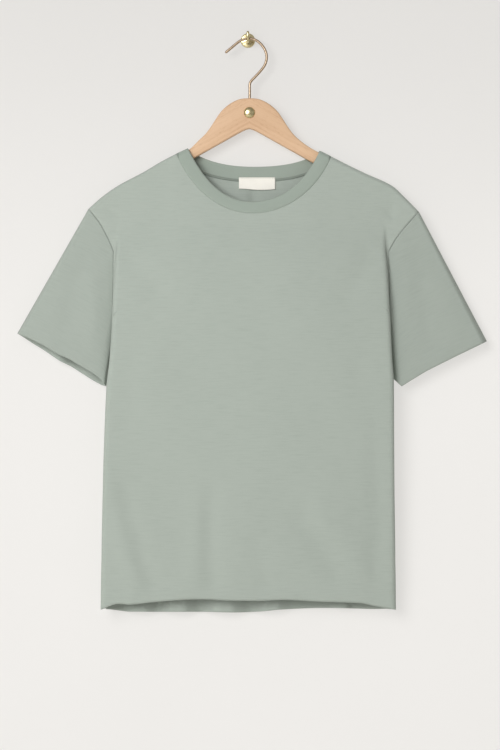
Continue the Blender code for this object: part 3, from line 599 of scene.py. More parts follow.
# %% Creases
CREASE_COLUMNS = ("start_x", "start_z", "end_x", "end_z", "width", "depth")
CREASES = {
    "front": (
        (-50.0, -640.0, -53.0, -790.0, 15.0, 2.4),
        (-72.0, -660.0, -76.0, -790.0, 16.0, -1.6),
        (-200.0, -600.0, -160.0, -790.0, 17.0, -2.6),
        (-176.0, -640.0, -132.0, -792.0, 15.0, 2.0),
        (60.0, -670.0, 138.0, -775.0, 18.0, 2.2),
        (96.0, -650.0, 170.0, -770.0, 18.0, -1.6),
        (184.0, -560.0, 176.0, -780.0, 14.0, 1.6),
        (-176.0, -300.0, -120.0, -372.0, 18.0, 1.6),
        (184.0, -300.0, 126.0, -380.0, 18.0, 1.8),
        (-150.0, -420.0, -176.0, -560.0, 22.0, 1.4),
        (150.0, -430.0, 182.0, -560.0, 22.0, 1.2),
        (-20.0, -300.0, 30.0, -420.0, 34.0, 1.2),
        (196.0, -252.0, 214.0, -232.0, 8.0, 1.8),
        (-186.0, -256.0, -200.0, -236.0, 8.0, 1.2),
        (14.0, -700.0, 22.0, -792.0, 16.0, 1.3),
    ),
    "back": (
        (-100.0, -560.0, -100.0, -812.0, 20.0, -2.0),
        (34.0, -590.0, 34.0, -812.0, 20.0, -2.0),
        (139.0, -600.0, 139.0, -812.0, 20.0, -1.6),
        (-160.0, -300.0, -110.0, -400.0, 20.0, -1.6),
        (168.0, -300.0, 112.0, -410.0, 20.0, -1.6),
        (0.0, -260.0, 10.0, -420.0, 40.0, -1.2),
        (-60.0, -430.0, -20.0, -560.0, 26.0, 0.9),
        (8.0, -196.0, 9.0, -300.0, 7.0, 3.2),
    ),
    "cuff_left": (
        (-264.0, -400.0, -269.0, -470.0, 15.0, -9.0),
        (-226.0, -420.0, -222.0, -490.0, 9.0, -3.0),
    ),
    "cuff_right": (
        (284.0, -420.0, 288.0, -470.0, 14.0, -2.5),
    ),
    "sleeve_left": (
        (-226.0, -300.0, -262.0, -420.0, 14.0, 1.5),
        (-212.0, -330.0, -226.0, -450.0, 12.0, -1.2),
        (-256.0, -330.0, -292.0, -424.0, 16.0, -1.0),
    ),
    "sleeve_right": (
        (206.0, -350.0, 216.0, -520.0, 14.0, 1.2),
        (238.0, -300.0, 262.0, -440.0, 15.0, 1.3),
        (276.0, -330.0, 306.0, -430.0, 15.0, -1.0),
    ),
}
RIPPLE = 0.45


def crease_depth(name, x, z):
    """How far the creases of a piece push its surface toward the wall."""
    depth = np.zeros_like(x)
    for start_x, start_z, end_x, end_z, width, deep in CREASES[name]:
        run = np.array((end_x - start_x, end_z - start_z))
        length = np.linalg.norm(run)
        along = ((x - start_x) * run[0] + (z - start_z) * run[1]) / length ** 2
        across = ((x - start_x) * run[1] - (z - start_z) * run[0]) / length
        bend = 3.0 * np.sin(along * math.pi * 1.3 + start_x)
        fade = np.clip(along * 3.0 + 0.6, 0.0, 1.0) * np.clip((1.0 - along) * 3.0 + 0.6, 0.0, 1.0)
        depth += deep * fade ** 2 * np.exp(-((across - bend) / width) ** 2)
    depth += RIPPLE * np.sin(x / 31.0 + 1.3 * np.sin(z / 83.0)) * np.sin(z / 67.0 + x / 97.0)
    return depth


print(sum(len(rows) for rows in CREASES.values()), "creases")

# %% [markdown]
# ## Hems
# The body and sleeve hems are turned up two centimetres and sewn with a twin needle. The doubled band
# stands a little proud of the single cloth above it, and the stitching pulls a fine groove along its
# top.

# %% Hem relief
HEM_BAND = 20.0
HEM_PROUD = 0.7
STITCH_GROOVE = 0.6


def hem_relief(above_edge):
    """How far a turned-up hem stands out, by the distance above its edge."""
    band = 1.0 / (1.0 + np.exp(np.clip((above_edge - HEM_BAND) / 0.7, -30.0, 30.0)))
    groove = np.exp(-((above_edge - HEM_BAND + 3.0) / 1.6) ** 2)
    edge = np.exp(-(above_edge / 1.6) ** 2)
    return HEM_PROUD * band - STITCH_GROOVE * groove - 0.2 * edge


# %% [markdown]
# ## From grids to cloth
# A grid becomes a sheet of quads with its own UV map in metres of cloth, which the knit's pattern reads,
# and Solidify gives it a wall. The thin wall has rounded-looking rims at this size.

# %% Cloth maker
def new_collection(name):
    made = bpy.data.collections.new(name)
    bpy.context.scene.collection.children.link(made)
    return made


parts = new_collection("tshirt_looks")


def add(name, data, look):
    made = bpy.data.objects.new(name, data)
    data.materials.clear()
    data.materials.append(look)
    parts.objects.link(made)
    return made


def sheet_mesh(name, grid, ring=False, level=False):
    """Quads between the points of a grid, with UVs measured along the cloth, up from its last row."""
    rows, columns = grid.shape[:2]
    closed = np.concatenate((grid, grid[:, :1]), axis=1) if ring else grid
    across = np.cumsum(np.linalg.norm(np.diff(closed, axis=1), axis=2), axis=1)
    down = np.cumsum(np.linalg.norm(np.diff(closed, axis=0), axis=2), axis=0)
    u = np.concatenate((np.zeros((rows, 1)), across), axis=1)
    v = np.concatenate((np.zeros((1, closed.shape[1])), down))
    u = u - u[:, closed.shape[1] // 2][:, None]
    v = -closed[..., 2] if level else v - v[-1][None]
    faces, corners = [], []
    for row in range(rows - 1):
        for column in range(closed.shape[1] - 1):
            after = (column + 1) % columns
            faces.append((row * columns + column, row * columns + after,
                          (row + 1) * columns + after, (row + 1) * columns + column))
            for below, beside in ((0, 0), (0, 1), (1, 1), (1, 0)):
                corner = (row + below, column + beside)
                corners.append((u[corner] * MM, -v[corner] * MM))
    mesh = bpy.data.meshes.new(name)
    mesh.from_pydata([tuple(point) for point in grid.reshape(-1, 3) * MM], [], faces)
    layer = mesh.uv_layers.new(name="cloth")
    layer.data.foreach_set("uv", np.array(corners, dtype=np.float32).ravel())
    mesh.polygons.foreach_set("use_smooth", [True] * len(faces))
    return mesh


def cloth_piece(name, grid, look, ring=False, wall=CLOTH, level=False):
    """A sheet of cloth with a wall, as a finished mesh."""
    made = add(name, sheet_mesh(name, grid, ring, level), look)
    solid = made.modifiers.new("wall", "SOLIDIFY")
    solid.thickness = wall * MM
    solid.offset = 0.0
    solid.use_quality_normals = True
    return flattened(made)


def flattened(piece):
    """The piece with its modifiers worked into its mesh."""
    graph = bpy.context.evaluated_depsgraph_get()
    mesh = bpy.data.meshes.new_from_object(piece.evaluated_get(graph), depsgraph=graph)
    piece.modifiers.clear()
    piece.data = mesh
    mesh.polygons.foreach_set("use_smooth", [True] * len(mesh.polygons))
    return piece


def area_of(grid, ring=False):
    """Area of a grid's cloth in square metres."""
    closed = np.concatenate((grid, grid[:, :1]), axis=1) if ring else grid
    one = closed[1:, :-1] - closed[:-1, :-1]
    two = closed[:-1, 1:] - closed[:-1, :-1]
    return float(np.linalg.norm(np.cross(one, two), axis=2).sum()) * MM * MM


# %% [markdown]
# ## Jersey
# The cloth is a fine single jersey spun from uneven yarn, in a greyed sage green. From a step away it
# reads as a soft matt green with short, faint streaks along the courses. The colour varies by a few
# parts in a hundred, and the bump holds the knit's fine wales and the thicker slubs. The sleeves use a
# copy of the jersey a shade darker: painted shade, so that they read darker than the body.

# %% Node helpers and the jersey
JERSEY = (0.402, 0.448, 0.402)
JERSEY_DARK = (0.352, 0.396, 0.354)
RIB_TINT = (0.318, 0.372, 0.322)
BLACK = (0.0, 0.0, 0.0)


class Tree:
    """A material's nodes, added and joined by short calls."""

    def __init__(self, name):
        self.material = bpy.data.materials.new(name)
        self.material.use_nodes = True
        self.nodes = self.material.node_tree.nodes
        self.links = self.material.node_tree.links
        self.shader = self.nodes["Principled BSDF"]

    def add(self, kind, **values):
        node = self.nodes.new(kind)
        for key, value in values.items():
            setattr(node, key, value)
        return node

    def put(self, value, socket):
        if isinstance(value, bpy.types.NodeSocket):
            self.links.new(value, socket)
        else:
            socket.default_value = value

    def math(self, operation, one, two=0.0, three=0.0):
        node = self.add("ShaderNodeMath", operation=operation)
        for value, socket in zip((one, two, three), node.inputs):
            self.put(value, socket)
        return node.outputs[0]

    def mapped(self, source, scale, turn=(0.0, 0.0, 0.0)):
        node = self.add("ShaderNodeMapping")
        self.put(source, node.inputs["Vector"])
        node.inputs["Scale"].default_value = scale
        node.inputs["Rotation"].default_value = turn
        return node.outputs[0]

    def noise(self, vector, scale, detail=2.0, roughness=0.5):
        node = self.add("ShaderNodeTexNoise")
        self.put(vector, node.inputs["Vector"])
        node.inputs["Scale"].default_value = scale
        node.inputs["Detail"].default_value = detail
        node.inputs["Roughness"].default_value = roughness
        return node.outputs["Fac"]

    def ramp(self, value, stops):
        node = self.add("ShaderNodeValToRGB")
        while len(node.color_ramp.elements) < len(stops):
            node.color_ramp.elements.new(0.5)
        for element, (place, colour) in zip(node.color_ramp.elements, stops):
            element.position = place
            element.color = (*colour, 1.0)
        self.put(value, node.inputs["Fac"])
        return node.outputs["Color"]

    def bump(self, height, distance, strength=1.0):
        node = self.add("ShaderNodeBump")
        self.put(height, node.inputs["Height"])
        node.inputs["Distance"].default_value = distance
        node.inputs["Strength"].default_value = strength
        self.put(node.outputs["Normal"], self.shader.inputs["Normal"])

    def finish(self, roughness, metallic=0.0, sheen=0.0, specular=0.5):
        self.put(roughness, self.shader.inputs["Roughness"])
        self.shader.inputs["Metallic"].default_value = metallic
        self.shader.inputs["Sheen Weight"].default_value = sheen
        self.shader.inputs["Specular IOR Level"].default_value = specular
        return self.material


def between(dark, light, share):
    return tuple(low + (high - low) * share for low, high in zip(dark, light))


def jersey(name, light, dark, wale, seam=None):
    """Knitted cloth: fine wales, slubs along the courses, slow changes of tone and, when asked, painted
    shade along a seam.
    """
    tree = Tree(name)
    uv = tree.add("ShaderNodeUVMap", uv_map="cloth").outputs["UV"]
    slub = tree.noise(tree.mapped(uv, (38.0, 520.0, 1.0)), 1.0, 3.0, 0.62)
    slow = tree.noise(tree.mapped(uv, (9.0, 9.0, 1.0)), 1.0, 2.0)
    grain = tree.noise(tree.mapped(uv, (900.0, 900.0, 1.0)), 1.0, 2.0, 0.7)
    shade = tree.math("ADD", tree.math("MULTIPLY", slub, 0.62), tree.math("MULTIPLY", slow, 0.18))
    shade = tree.math("ADD", shade, tree.math("MULTIPLY", grain, 0.20))
    colour = tree.ramp(shade, ((0.30, dark), (0.50, between(dark, light, 0.72)), (0.70, light)))
    # Painted shade along a seam: the colour is scaled down near the cloth's last rows, by its v.
    if seam:
        axes = tree.add("ShaderNodeSeparateXYZ")
        tree.put(uv, axes.inputs[0])
        seam_shade_ramp = tree.add("ShaderNodeMapRange", interpolation_type="SMOOTHSTEP")
        tree.put(axes.outputs["Y"], seam_shade_ramp.inputs["Value"])
        for socket, value in zip(seam_shade_ramp.inputs[1:5], seam):
            socket.default_value = value
        shaded = tree.add("ShaderNodeVectorMath", operation="SCALE")
        tree.put(colour, shaded.inputs[0])
        tree.put(seam_shade_ramp.outputs[0], shaded.inputs["Scale"])
        colour = shaded.outputs[0]
    tree.put(colour, tree.shader.inputs["Base Color"])
    wales = tree.add("ShaderNodeTexWave", wave_type="BANDS", bands_direction="X")
    tree.put(tree.mapped(uv, (wale, 1.0, 1.0)), wales.inputs["Vector"])
    wales.inputs["Scale"].default_value = 1.0
    wales.inputs["Distortion"].default_value = 0.4
    wale_height = tree.math("MULTIPLY", wales.outputs["Fac"], 0.45)
    height = tree.math("ADD", wale_height, tree.math("MULTIPLY", slub, 0.8))
    height = tree.math("ADD", height, tree.math("MULTIPLY", grain, 0.5))
    tree.bump(height, 0.00022, 0.55)
    rough = tree.math("MULTIPLY_ADD", grain, 0.08, 0.86)
    return tree.finish(rough, sheen=0.12, specular=0.22)


# The wave texture has one band for each pi/10 of its input, so a rib 1.1 mm wide is 0.314 / 0.0011.
JERSEY_WALE = 0.314 / 0.0009
RIB_WALE = 0.314 / 0.0014
jersey_look = jersey("jersey_cloth", JERSEY, JERSEY_DARK, JERSEY_WALE)
# The sleeves' copy of the jersey is darkened by this share toward black: painted shade.
SLEEVE_PAINTED_SHADE = 0.065
painted_shade_sleeve_look = jersey("sleeve_cloth", between(JERSEY, BLACK, SLEEVE_PAINTED_SHADE),
                     between(JERSEY_DARK, BLACK, SLEEVE_PAINTED_SHADE), JERSEY_WALE)
# Painted shade by the neck seam: from 3.2 to 4.6 mm above the band's last row the colour rises from 0.72 to
# full.
RIB_SEAM_PAINTED_SHADE = (0.0032, 0.0046, 0.72, 1.0)
rib_look = jersey("rib_cloth", RIB_TINT, between(JERSEY_DARK, BLACK, 0.06), RIB_WALE, RIB_SEAM_PAINTED_SHADE)
print("jersey", JERSEY)

# %% [markdown]
# ## Front and back
# The panels are evaluated on the fine grid, creased and given their hems.

# %% Front and back
SEAM_CALM = 22.0


def dressed_panel(face):
    grid = panel(face)
    toward = -1.0 if face == "front" else 1.0
    x, z = grid[..., 0].copy(), grid[..., 2].copy()
    run = np.cumsum(np.linalg.norm(np.diff(grid, axis=1, prepend=grid[:, :1]), axis=2), axis=1)
    edge = np.clip(np.minimum(run, run[:, -1:] - run) / SEAM_CALM, 0.0, 1.0)
    calm = edge * np.clip((ridge_z(x) - z) / 30.0, 0.0, 1.0)
    above_neck = np.clip((grid[0, :, 2][None] - z) / 26.0, 0.0, 1.0)
    grid[..., 1] += crease_depth(face, x, z) * calm * above_neck
    grid[..., 1] += toward * hem_relief(z - z[-1][None]) * edge
    return grid


front_grid = dressed_panel("front")
back_grid = dressed_panel("back")
front = cloth_piece("shirt_front", front_grid, jersey_look, level=True)
back = cloth_piece("shirt_back", back_grid, jersey_look, level=True)
for piece, node, grid in ((front, "front", front_grid), (back, "back", back_grid)):
    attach(piece, "root")
    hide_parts(node)
    print(piece.name, len(piece.data.polygons), "faces", round(area_of(grid), 3), "m2")

# %% [markdown]
# ## Sleeves
# The sleeves are tubes. The right one has a long crease
# beside the body, where its inner edge turns away.

# %% Sleeves
def dressed_sleeve(side):
    grid = sleeve(side)
    name = "sleeve_" + ("left", "right")[side]
    count = grid.shape[1]
    front_share = np.zeros(count)
    half = len(ARMHOLE_ROWS) + 1
    front_share[:half] = np.sin(np.linspace(0.0, math.pi, half)) ** 0.5
    back_share = np.zeros(count)
    back_share[half - 1:] = np.sin(np.linspace(math.pi, 0.0, count - half + 1)) ** 0.5
    depth = crease_depth(name, grid[..., 0], grid[..., 2])
    t = np.array(SLEEVE_ROWS)[:, None]
    free = np.clip(t * 9.0, 0.0, 1.0)
    left = np.linalg.norm(grid - grid[-1][None], axis=2)
    relief = hem_relief(left)
    cuff = crease_depth("cuff" + name[6:], grid[..., 0], grid[..., 2])
    grid[..., 1] += depth * free * front_share[None] * 0.9 - depth * free * back_share[None] * 0.5
    grid[..., 1] += cuff * np.clip(t * 2.0 - 1.0, 0.0, 1.0) * back_share[None]
    grid[..., 1] += relief * (back_share - front_share)[None]
    return grid


sleeve_grids = [dressed_sleeve(side) for side in (LEFT, RIGHT)]
sleeves = []
for side, name in ((LEFT, "left"), (RIGHT, "right")):
    piece = cloth_piece("shirt_sleeve_" + name, sleeve_grids[side], painted_shade_sleeve_look, ring=True)
    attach(piece, "root")
    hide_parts("sleeve_" + name)
    sleeves.append(piece)
    print(piece.name, round(area_of(sleeve_grids[side], ring=True), 3), "m2")

# %% [markdown]
# ## Neck band
# The band is a folded rib, a touch thicker than the jersey. It is rounded across its width, so it
# catches the light along its middle, and its ribs run across it. Past the seam its allowance is tucked
# behind the jersey, so the seam reads as a soft fold and not as a slit. Its colour is also darkened
# along the seam, a painted shade.

# %% Neck band
RIB_CROWN = 0.8
RIB_WALL = 1.6
TUCKS = ((0.35, 1.9), (2.6, 2.3))
BACK_TUCK = 0.3


def dressed_rib():
    grid = neck_rib()
    count = grid.shape[1]
    front_count = 2 * (len(FRONT_NECK_STATIONS) - 1)
    toward = np.where(np.arange(count) < front_count, -1.0, 1.0)
    share = np.array(RIB_ROWS)
    crown = np.sin(math.pi * share) ** 0.6
    clear = np.clip((ridge_z(grid[..., 0]) - grid[..., 2]) / 12.0, 0.0, 1.0)
    grid[..., 1] += toward[None] * RIB_CROWN * crown[:, None] * clear
    step = grid[-1] - grid[-2]
    step /= np.linalg.norm(step, axis=1)[:, None]
    rows = [grid]
    for past, behind in TUCKS:
        row = grid[-1] + step * past * clear[-1][:, None]
        row[:, 1] += np.where(toward < 0.0, 1.0, -BACK_TUCK) * behind * clear[-1]
        rows.append(row[None])
    return np.concatenate(rows)


rib_grid = dressed_rib()
rib = cloth_piece("shirt_neck_band", rib_grid, rib_look, ring=True, wall=RIB_WALL)
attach(rib, "root")
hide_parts("neck_rib")
print(rib.name, round(area_of(rib_grid, ring=True), 4), "m2")

# %% [markdown]
# ## Stitching
# Twin rows of small stitches run round every hem, and one row holds the neck seam inside the back. A
# stitch follows a path, so Geometry Nodes place it: the path is resampled at the stitch length, and one
# small bead of thread is set on each point, turned along the path.

# %% Stitch tree
THREAD = (0.375, 0.42, 0.38)
STITCH_LENGTH = 2.9
STITCH_WIDTH = 0.42


def thread_material():
    tree = Tree("sewing_thread")
    place = tree.add("ShaderNodeTexCoord").outputs["Object"]
    twist = tree.noise(tree.mapped(place, (900.0, 900.0, 900.0)), 1.0, 2.0)
    colour = tree.ramp(twist, ((0.3, between(THREAD, BLACK, 0.1)), (0.7, THREAD)))
    tree.put(colour, tree.shader.inputs["Base Color"])
    return tree.finish(0.6, sheen=0.05, specular=0.3)


thread_look = thread_material()


def stitch_tree():
    """Node group: a row of thread beads along a curve."""
    group = bpy.data.node_groups.new("stitches", "GeometryNodeTree")
    face = group.interface
    face.new_socket("Geometry", in_out="INPUT", socket_type="NodeSocketGeometry")
    for name, value in (("Stitch length", STITCH_LENGTH * MM), ("Thread width", STITCH_WIDTH * MM)):
        socket = face.new_socket(name, in_out="INPUT", socket_type="NodeSocketFloat")
        socket.default_value = value
    face.new_socket("Thread", in_out="INPUT", socket_type="NodeSocketMaterial")
    face.new_socket("Geometry", in_out="OUTPUT", socket_type="NodeSocketGeometry")
    nodes, links = group.nodes, group.links
    start = nodes.new("NodeGroupInput")
    end = nodes.new("NodeGroupOutput")
    path = nodes.new("GeometryNodeMeshToCurve")
    points = nodes.new("GeometryNodeResampleCurve")
    points.mode = "LENGTH"
    bead = nodes.new("GeometryNodeMeshUVSphere")
    bead.inputs["Segments"].default_value = 6
    bead.inputs["Rings"].default_value = 4
    stretch = nodes.new("ShaderNodeCombineXYZ")
    long_share = nodes.new("ShaderNodeMath")
    long_share.operation = "MULTIPLY"
    long_share.inputs[1].default_value = 0.40
    thick_share = nodes.new("ShaderNodeMath")
    thick_share.operation = "MULTIPLY"
    thick_share.inputs[1].default_value = 0.5
    tangent = nodes.new("GeometryNodeInputTangent")
    turn = nodes.new("FunctionNodeAlignRotationToVector")
    turn.axis = "X"
    place = nodes.new("GeometryNodeInstanceOnPoints")
    real = nodes.new("GeometryNodeRealizeInstances")
    paint = nodes.new("GeometryNodeSetMaterial")
    bead.inputs["Radius"].default_value = 1.0
    links.new(start.outputs["Geometry"], path.inputs["Mesh"])
    links.new(path.outputs["Curve"], points.inputs["Curve"])
    links.new(start.outputs["Stitch length"], points.inputs["Length"])
    links.new(start.outputs["Stitch length"], long_share.inputs[0])
    links.new(start.outputs["Thread width"], thick_share.inputs[0])
    links.new(long_share.outputs[0], stretch.inputs["X"])
    links.new(thick_share.outputs[0], stretch.inputs["Y"])
    links.new(thick_share.outputs[0], stretch.inputs["Z"])
    links.new(tangent.outputs["Tangent"], turn.inputs["Vector"])
    links.new(points.outputs["Curve"], place.inputs["Points"])
    links.new(bead.outputs["Mesh"], place.inputs["Instance"])
    links.new(turn.outputs["Rotation"], place.inputs["Rotation"])
    links.new(stretch.outputs["Vector"], place.inputs["Scale"])
    links.new(place.outputs["Instances"], real.inputs["Geometry"])
    links.new(real.outputs["Geometry"], paint.inputs["Geometry"])
    links.new(start.outputs["Thread"], paint.inputs["Material"])
    links.new(paint.outputs["Geometry"], end.inputs["Geometry"])
    return group


def input_name(group, name):
    for item in group.interface.items_tree:
        if item.name == name and item.in_out == "INPUT":
            return item.identifier
    raise KeyError(name)


stitches = stitch_tree()
print(len(stitches.nodes), "nodes in the stitch tree")

# %% Rows of stitches
ROW_HEIGHTS = (17.2, 20.4)


def surface_normals(grid):
    """Normals of a grid's surface, toward the wall or away from it as the grid runs."""
    across = np.gradient(grid, axis=1)
    down = np.gradient(grid, axis=0)
    normal = np.cross(across, down)
    return normal / np.maximum(np.linalg.norm(normal, axis=2), 1e-9)[..., None]


def row_above_edge(grid, distance, outward, trim=0):
    """Points of a grid at a distance above its last row, on the outer face."""
    gap = np.linalg.norm(np.diff(grid, axis=0), axis=2)
    above = np.concatenate((np.cumsum(gap[::-1], axis=0)[::-1], np.zeros((1, grid.shape[1]))))
    normals = surface_normals(grid) * outward
    made = []
    for column in range(trim, grid.shape[1] - trim):
        heights = above[::-1, column]
        point = [np.interp(distance, heights, grid[::-1, column, axis]) for axis in range(3)]
        lift = [np.interp(distance, heights, normals[::-1, column, axis]) for axis in range(3)]
        made.append(np.array(point) + np.array(lift) * (CLOTH / 2.0 + 0.05))
    return made


def stitch_rows(name, paths, closed):
    """One piece holding every row of stitches given."""
    points, edges = [], []
    for path in paths:
        base = len(points)
        points.extend(tuple(point * MM) for point in path)
        edges.extend((base + step, base + step + 1) for step in range(len(path) - 1))
        if closed:
            edges.append((base + len(path) - 1, base))
    mesh = bpy.data.meshes.new(name)
    mesh.from_pydata(points, edges, [])
    made = add(name, mesh, thread_look)
    sewing = made.modifiers.new("sewing", "NODES")
    sewing.node_group = stitches
    sewing[input_name(stitches, "Stitch length")] = STITCH_LENGTH * MM
    sewing[input_name(stitches, "Thread width")] = STITCH_WIDTH * MM
    sewing[input_name(stitches, "Thread")] = thread_look
    flattened(made)
    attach(made, "root")
    print(name, len(made.data.polygons), "faces")
    return made


sewing_jobs = (
    ("stitches_front", front_grid, 1.0, 1, False),
    ("stitches_back", back_grid, -1.0, 1, False),
    ("stitches_sleeve_left", sleeve_grids[LEFT], 1.0, 0, True),
    ("stitches_sleeve_right", sleeve_grids[RIGHT], -1.0, 0, True),
)
for name, grid, outer, trim, closed in sewing_jobs:
    rows = [row_above_edge(grid, height, outer, trim) for height in ROW_HEIGHTS]
    stitch_rows(name, rows, closed)

# %% [markdown]
# ## The neck label
# A short woven ribbon is sewn over the back of the neck. It is bare here. Its free lower edge lifts a
# little, which gives it a soft shadow.

# %% Label
LABEL_MIDDLE = (13.1, -10.7, -205.4)
LABEL_WIDE = 51.8
LABEL_TALL = 17.2
LABEL_COLOUR = (0.93, 0.905, 0.83)


def label_grid():
    wide, tall = 41, 15
    u = np.linspace(-0.5, 0.5, wide)[None] * np.ones((tall, 1))
    w = np.linspace(0.0, 1.0, tall)[:, None] * np.ones((1, wide))
    x = LABEL_MIDDLE[0] + u * LABEL_WIDE
    sag = 0.9 * np.sin(u * 5.2 + 0.9) * w
    z = LABEL_MIDDLE[2] + LABEL_TALL / 2.0 - w * (LABEL_TALL + sag)
    y = LABEL_MIDDLE[1] - 1.1 * w ** 2 * (0.6 + 0.4 * np.sin(u * 9.0 + 0.5))
    return np.stack((x, y, z), axis=-1)


def woven_label():
    tree = Tree("woven_label")
    uv = tree.add("ShaderNodeUVMap", uv_map="cloth").outputs["UV"]
    threads = tree.noise(tree.mapped(uv, (2600.0, 700.0, 1.0)), 1.0, 2.0, 0.6)
    slow = tree.noise(tree.mapped(uv, (60.0, 60.0, 1.0)), 1.0, 2.0)
    shade = tree.math("ADD", tree.math("MULTIPLY", threads, 0.6), tree.math("MULTIPLY", slow, 0.4))
    colour = tree.ramp(shade, ((0.3, between(LABEL_COLOUR, BLACK, 0.10)), (0.65, LABEL_COLOUR)))
    tree.put(colour, tree.shader.inputs["Base Color"])
    tree.bump(threads, 0.0002, 0.5)
    return tree.finish(0.62, sheen=0.1, specular=0.35)


label = cloth_piece("neck_ribbon", label_grid(), woven_label(), wall=0.7)
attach(label, "root")
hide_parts("neck_label")

# %% Stitches of the label and the neck
top = label_grid()[1] + np.array((0.0, -0.42, 0.0))
inner_seam = []
for side, stations in ((LEFT, np.linspace(0.12, 1.0, 40)), (RIGHT, np.linspace(1.0, 0.12, 40))):
    line = neck_curve("outer", "back", side, stations)
    for x, z in line:
        below = z - 2.2
        inner_seam.append(np.array((x, float(body("back", below)) - CLOTH / 2.0 - 0.08, below)))
stitch_rows("stitches_label", [list(top[1:-1])], False)
stitch_rows("stitches_neck_back", [inner_seam], False)

# %% [markdown]
# ## Sizes of the cloth
# The front is cut 51 cm wide, because it reaches round the sides, and the back 44 cm, and both are about
# 66 cm long. A sleeve is cut 39 cm around. Curves take much away from these rectangles, so the areas
# printed with the pieces are measured on their own grids.

# %% Names of the sleeves' stitch pieces
for side, piece in zip((LEFT, RIGHT), sleeves):
    name = "stitches_sleeve_" + ("left", "right")[side]

# %% [markdown]
# ## Wood and brass, turned and rounded
# The solids of the hanger and hook are right in size but faceted, so each gets a smoother piece on the
# same measures: the wood is a flat outline with rounded edges, the wires are curves, and the stud and
# the wall disc are profiles turned about their axis.

# %% Makers for the hard pieces
def smooth_by_angle(piece, degrees):
    """Smooth shading except across edges sharper than an angle."""
    mesh = piece.data
    mesh.polygons.foreach_set("use_smooth", [True] * len(mesh.polygons))
    mesh.set_sharp_from_angle(angle=math.radians(degrees))


def curve_point(four, t):
    """Point between the second and third of four points, on a smooth curve through all of them."""
    a, b, c, d = four
    return 0.5 * (2.0 * b + (c - a) * t + (2.0 * a - 5.0 * b + 4.0 * c - d) * t * t
                  + (3.0 * b - a - 3.0 * c + d) * t ** 3)


def rounded_route(points, between_points):
    """More points along a smooth curve through a route."""
    route = np.array(points, float)
    ends = np.concatenate((2.0 * route[:1] - route[1:2], route, 2.0 * route[-1:] - route[-2:-1]))
    made = [route[0]]
    for index in range(len(route) - 1):
        for step in range(1, between_points + 1):
            made.append(curve_point(ends[index:index + 4], step / between_points))
    return made


def as_mesh(piece):
    """A curve object turned into a mesh object of the same name."""
    bpy.context.view_layer.update()
    graph = bpy.context.evaluated_depsgraph_get()
    mesh = bpy.data.meshes.new_from_object(piece.evaluated_get(graph), depsgraph=graph)
    name, look, place = piece.name, piece.data.materials[0], piece.matrix_world.copy()
    bpy.data.objects.remove(piece)
    mesh.transform(place)
    made = add(name, mesh, look)
    return made


def wire(name, points, radius, look, end_round):
    """A round wire whose last few points taper to a rounded tip."""
    data = bpy.data.curves.new(name, "CURVE")
    data.dimensions = "3D"
    data.bevel_depth = radius * MM
    data.bevel_resolution = 8
    data.use_fill_caps = True
    spline = data.splines.new("POLY")
    path = [np.array(point) for point in points]
    share = [1.0] * len(path)
    if end_round:
        tip = path[-1]
        along = (tip - path[-2]) / np.linalg.norm(tip - path[-2])
        path[-1] = tip - along * radius
        for angle in np.radians((20.0, 40.0, 58.0, 74.0, 86.0)):
            path.append(tip - along * radius * (1.0 - math.sin(angle)))
            share.append(math.cos(angle))
    spline.points.add(len(path) - 1)
    for target, point, size in zip(spline.points, path, share):
        target.co = (point[0] * MM, point[1] * MM, point[2] * MM, 1.0)
        target.radius = size
    return as_mesh(add(name, data, look))


def turned(name, profile, look, place):
    """A profile (radius, height) turned about its axis, facing away from the wall."""
    steps = 72
    points, faces = [], []
    for radius, height in profile:
        for step in range(steps):
            angle = 2.0 * math.pi * step / steps
            points.append((place[0] + radius * math.cos(angle), place[1] - height,
                           place[2] + radius * math.sin(angle)))
    for row in range(len(profile) - 1):
        for step in range(steps):
            after = (step + 1) % steps
            faces.append((row * steps + step, row * steps + after,
                          (row + 1) * steps + after, (row + 1) * steps + step))
    faces.append(tuple(range(steps))[::-1])
    faces.append(tuple(range((len(profile) - 1) * steps, len(profile) * steps)))
    mesh = bpy.data.meshes.new(name)
    mesh.from_pydata([tuple(value * MM for value in point) for point in points], [], faces)
    made = add(name, mesh, look)
    outward(made)
    smooth_by_angle(made, 35.0)
    return made


def outward(piece):
    """Faces of a closed piece turned to point outward."""
    work = bmesh.new()
    work.from_mesh(piece.data)
    bmesh.ops.recalc_face_normals(work, faces=work.faces[:])
    work.to_mesh(piece.data)
    work.free()


# %% [markdown]
# ## Beech
# The hanger is pale beech under a satin lacquer. Its grain runs along each arm, so the pattern follows
# the arms' slope on both sides of the middle, and short darker flecks lie in it, as beech has.

# %% Measures of the hanger and the hook
# Half outline of its head from the top's middle, then the arms follow the shoulders
HANGER_MIDDLE_X = 2.1
HANGER_THICK = 11.0
OUTLINE_STEP = 3.5
HANGER_EDGE = 2.5
HANGER_BELOW_CLOTH = 3.0
HANGER_APEX_Z = -126.4
HANGER_SLOPE = 0.56
HANGER_REACH = 201.0
HANGER_TIP_ROUND = 8.0
HANGER_TIP_ANGLES = (32.0, 0.0, -32.0)
HANGER_ARM_FROM = 88.0
HANGER_ARM_STOPS = 5
HANGER_ARM_DEEP = 21.0
HANGER_ARM_TAPER = 4.0
HANGER_UNDER_FROM = 14.0
HANGER_UNDER_STOPS = 8
HANGER_STRAIGHT = 100.0
HANGER_APEX_ROUND = ((-5.0, -3.4), (0.0, -2.0), (5.0, -3.4))
HANGER_HEAD = (
    (0.0, -85.2), (12.0, -86.0), (22.4, -89.9), (33.0, -97.0), (41.0, -105.0), (47.7, -114.6),
    (55.0, -126.0), (62.5, -136.0), (72.0, -145.0),
)
STUD_Z = -105.8
STUD_RADIUS = 7.9
STUD_HEIGHT = 3.6
WIRE_RADIUS = 1.9
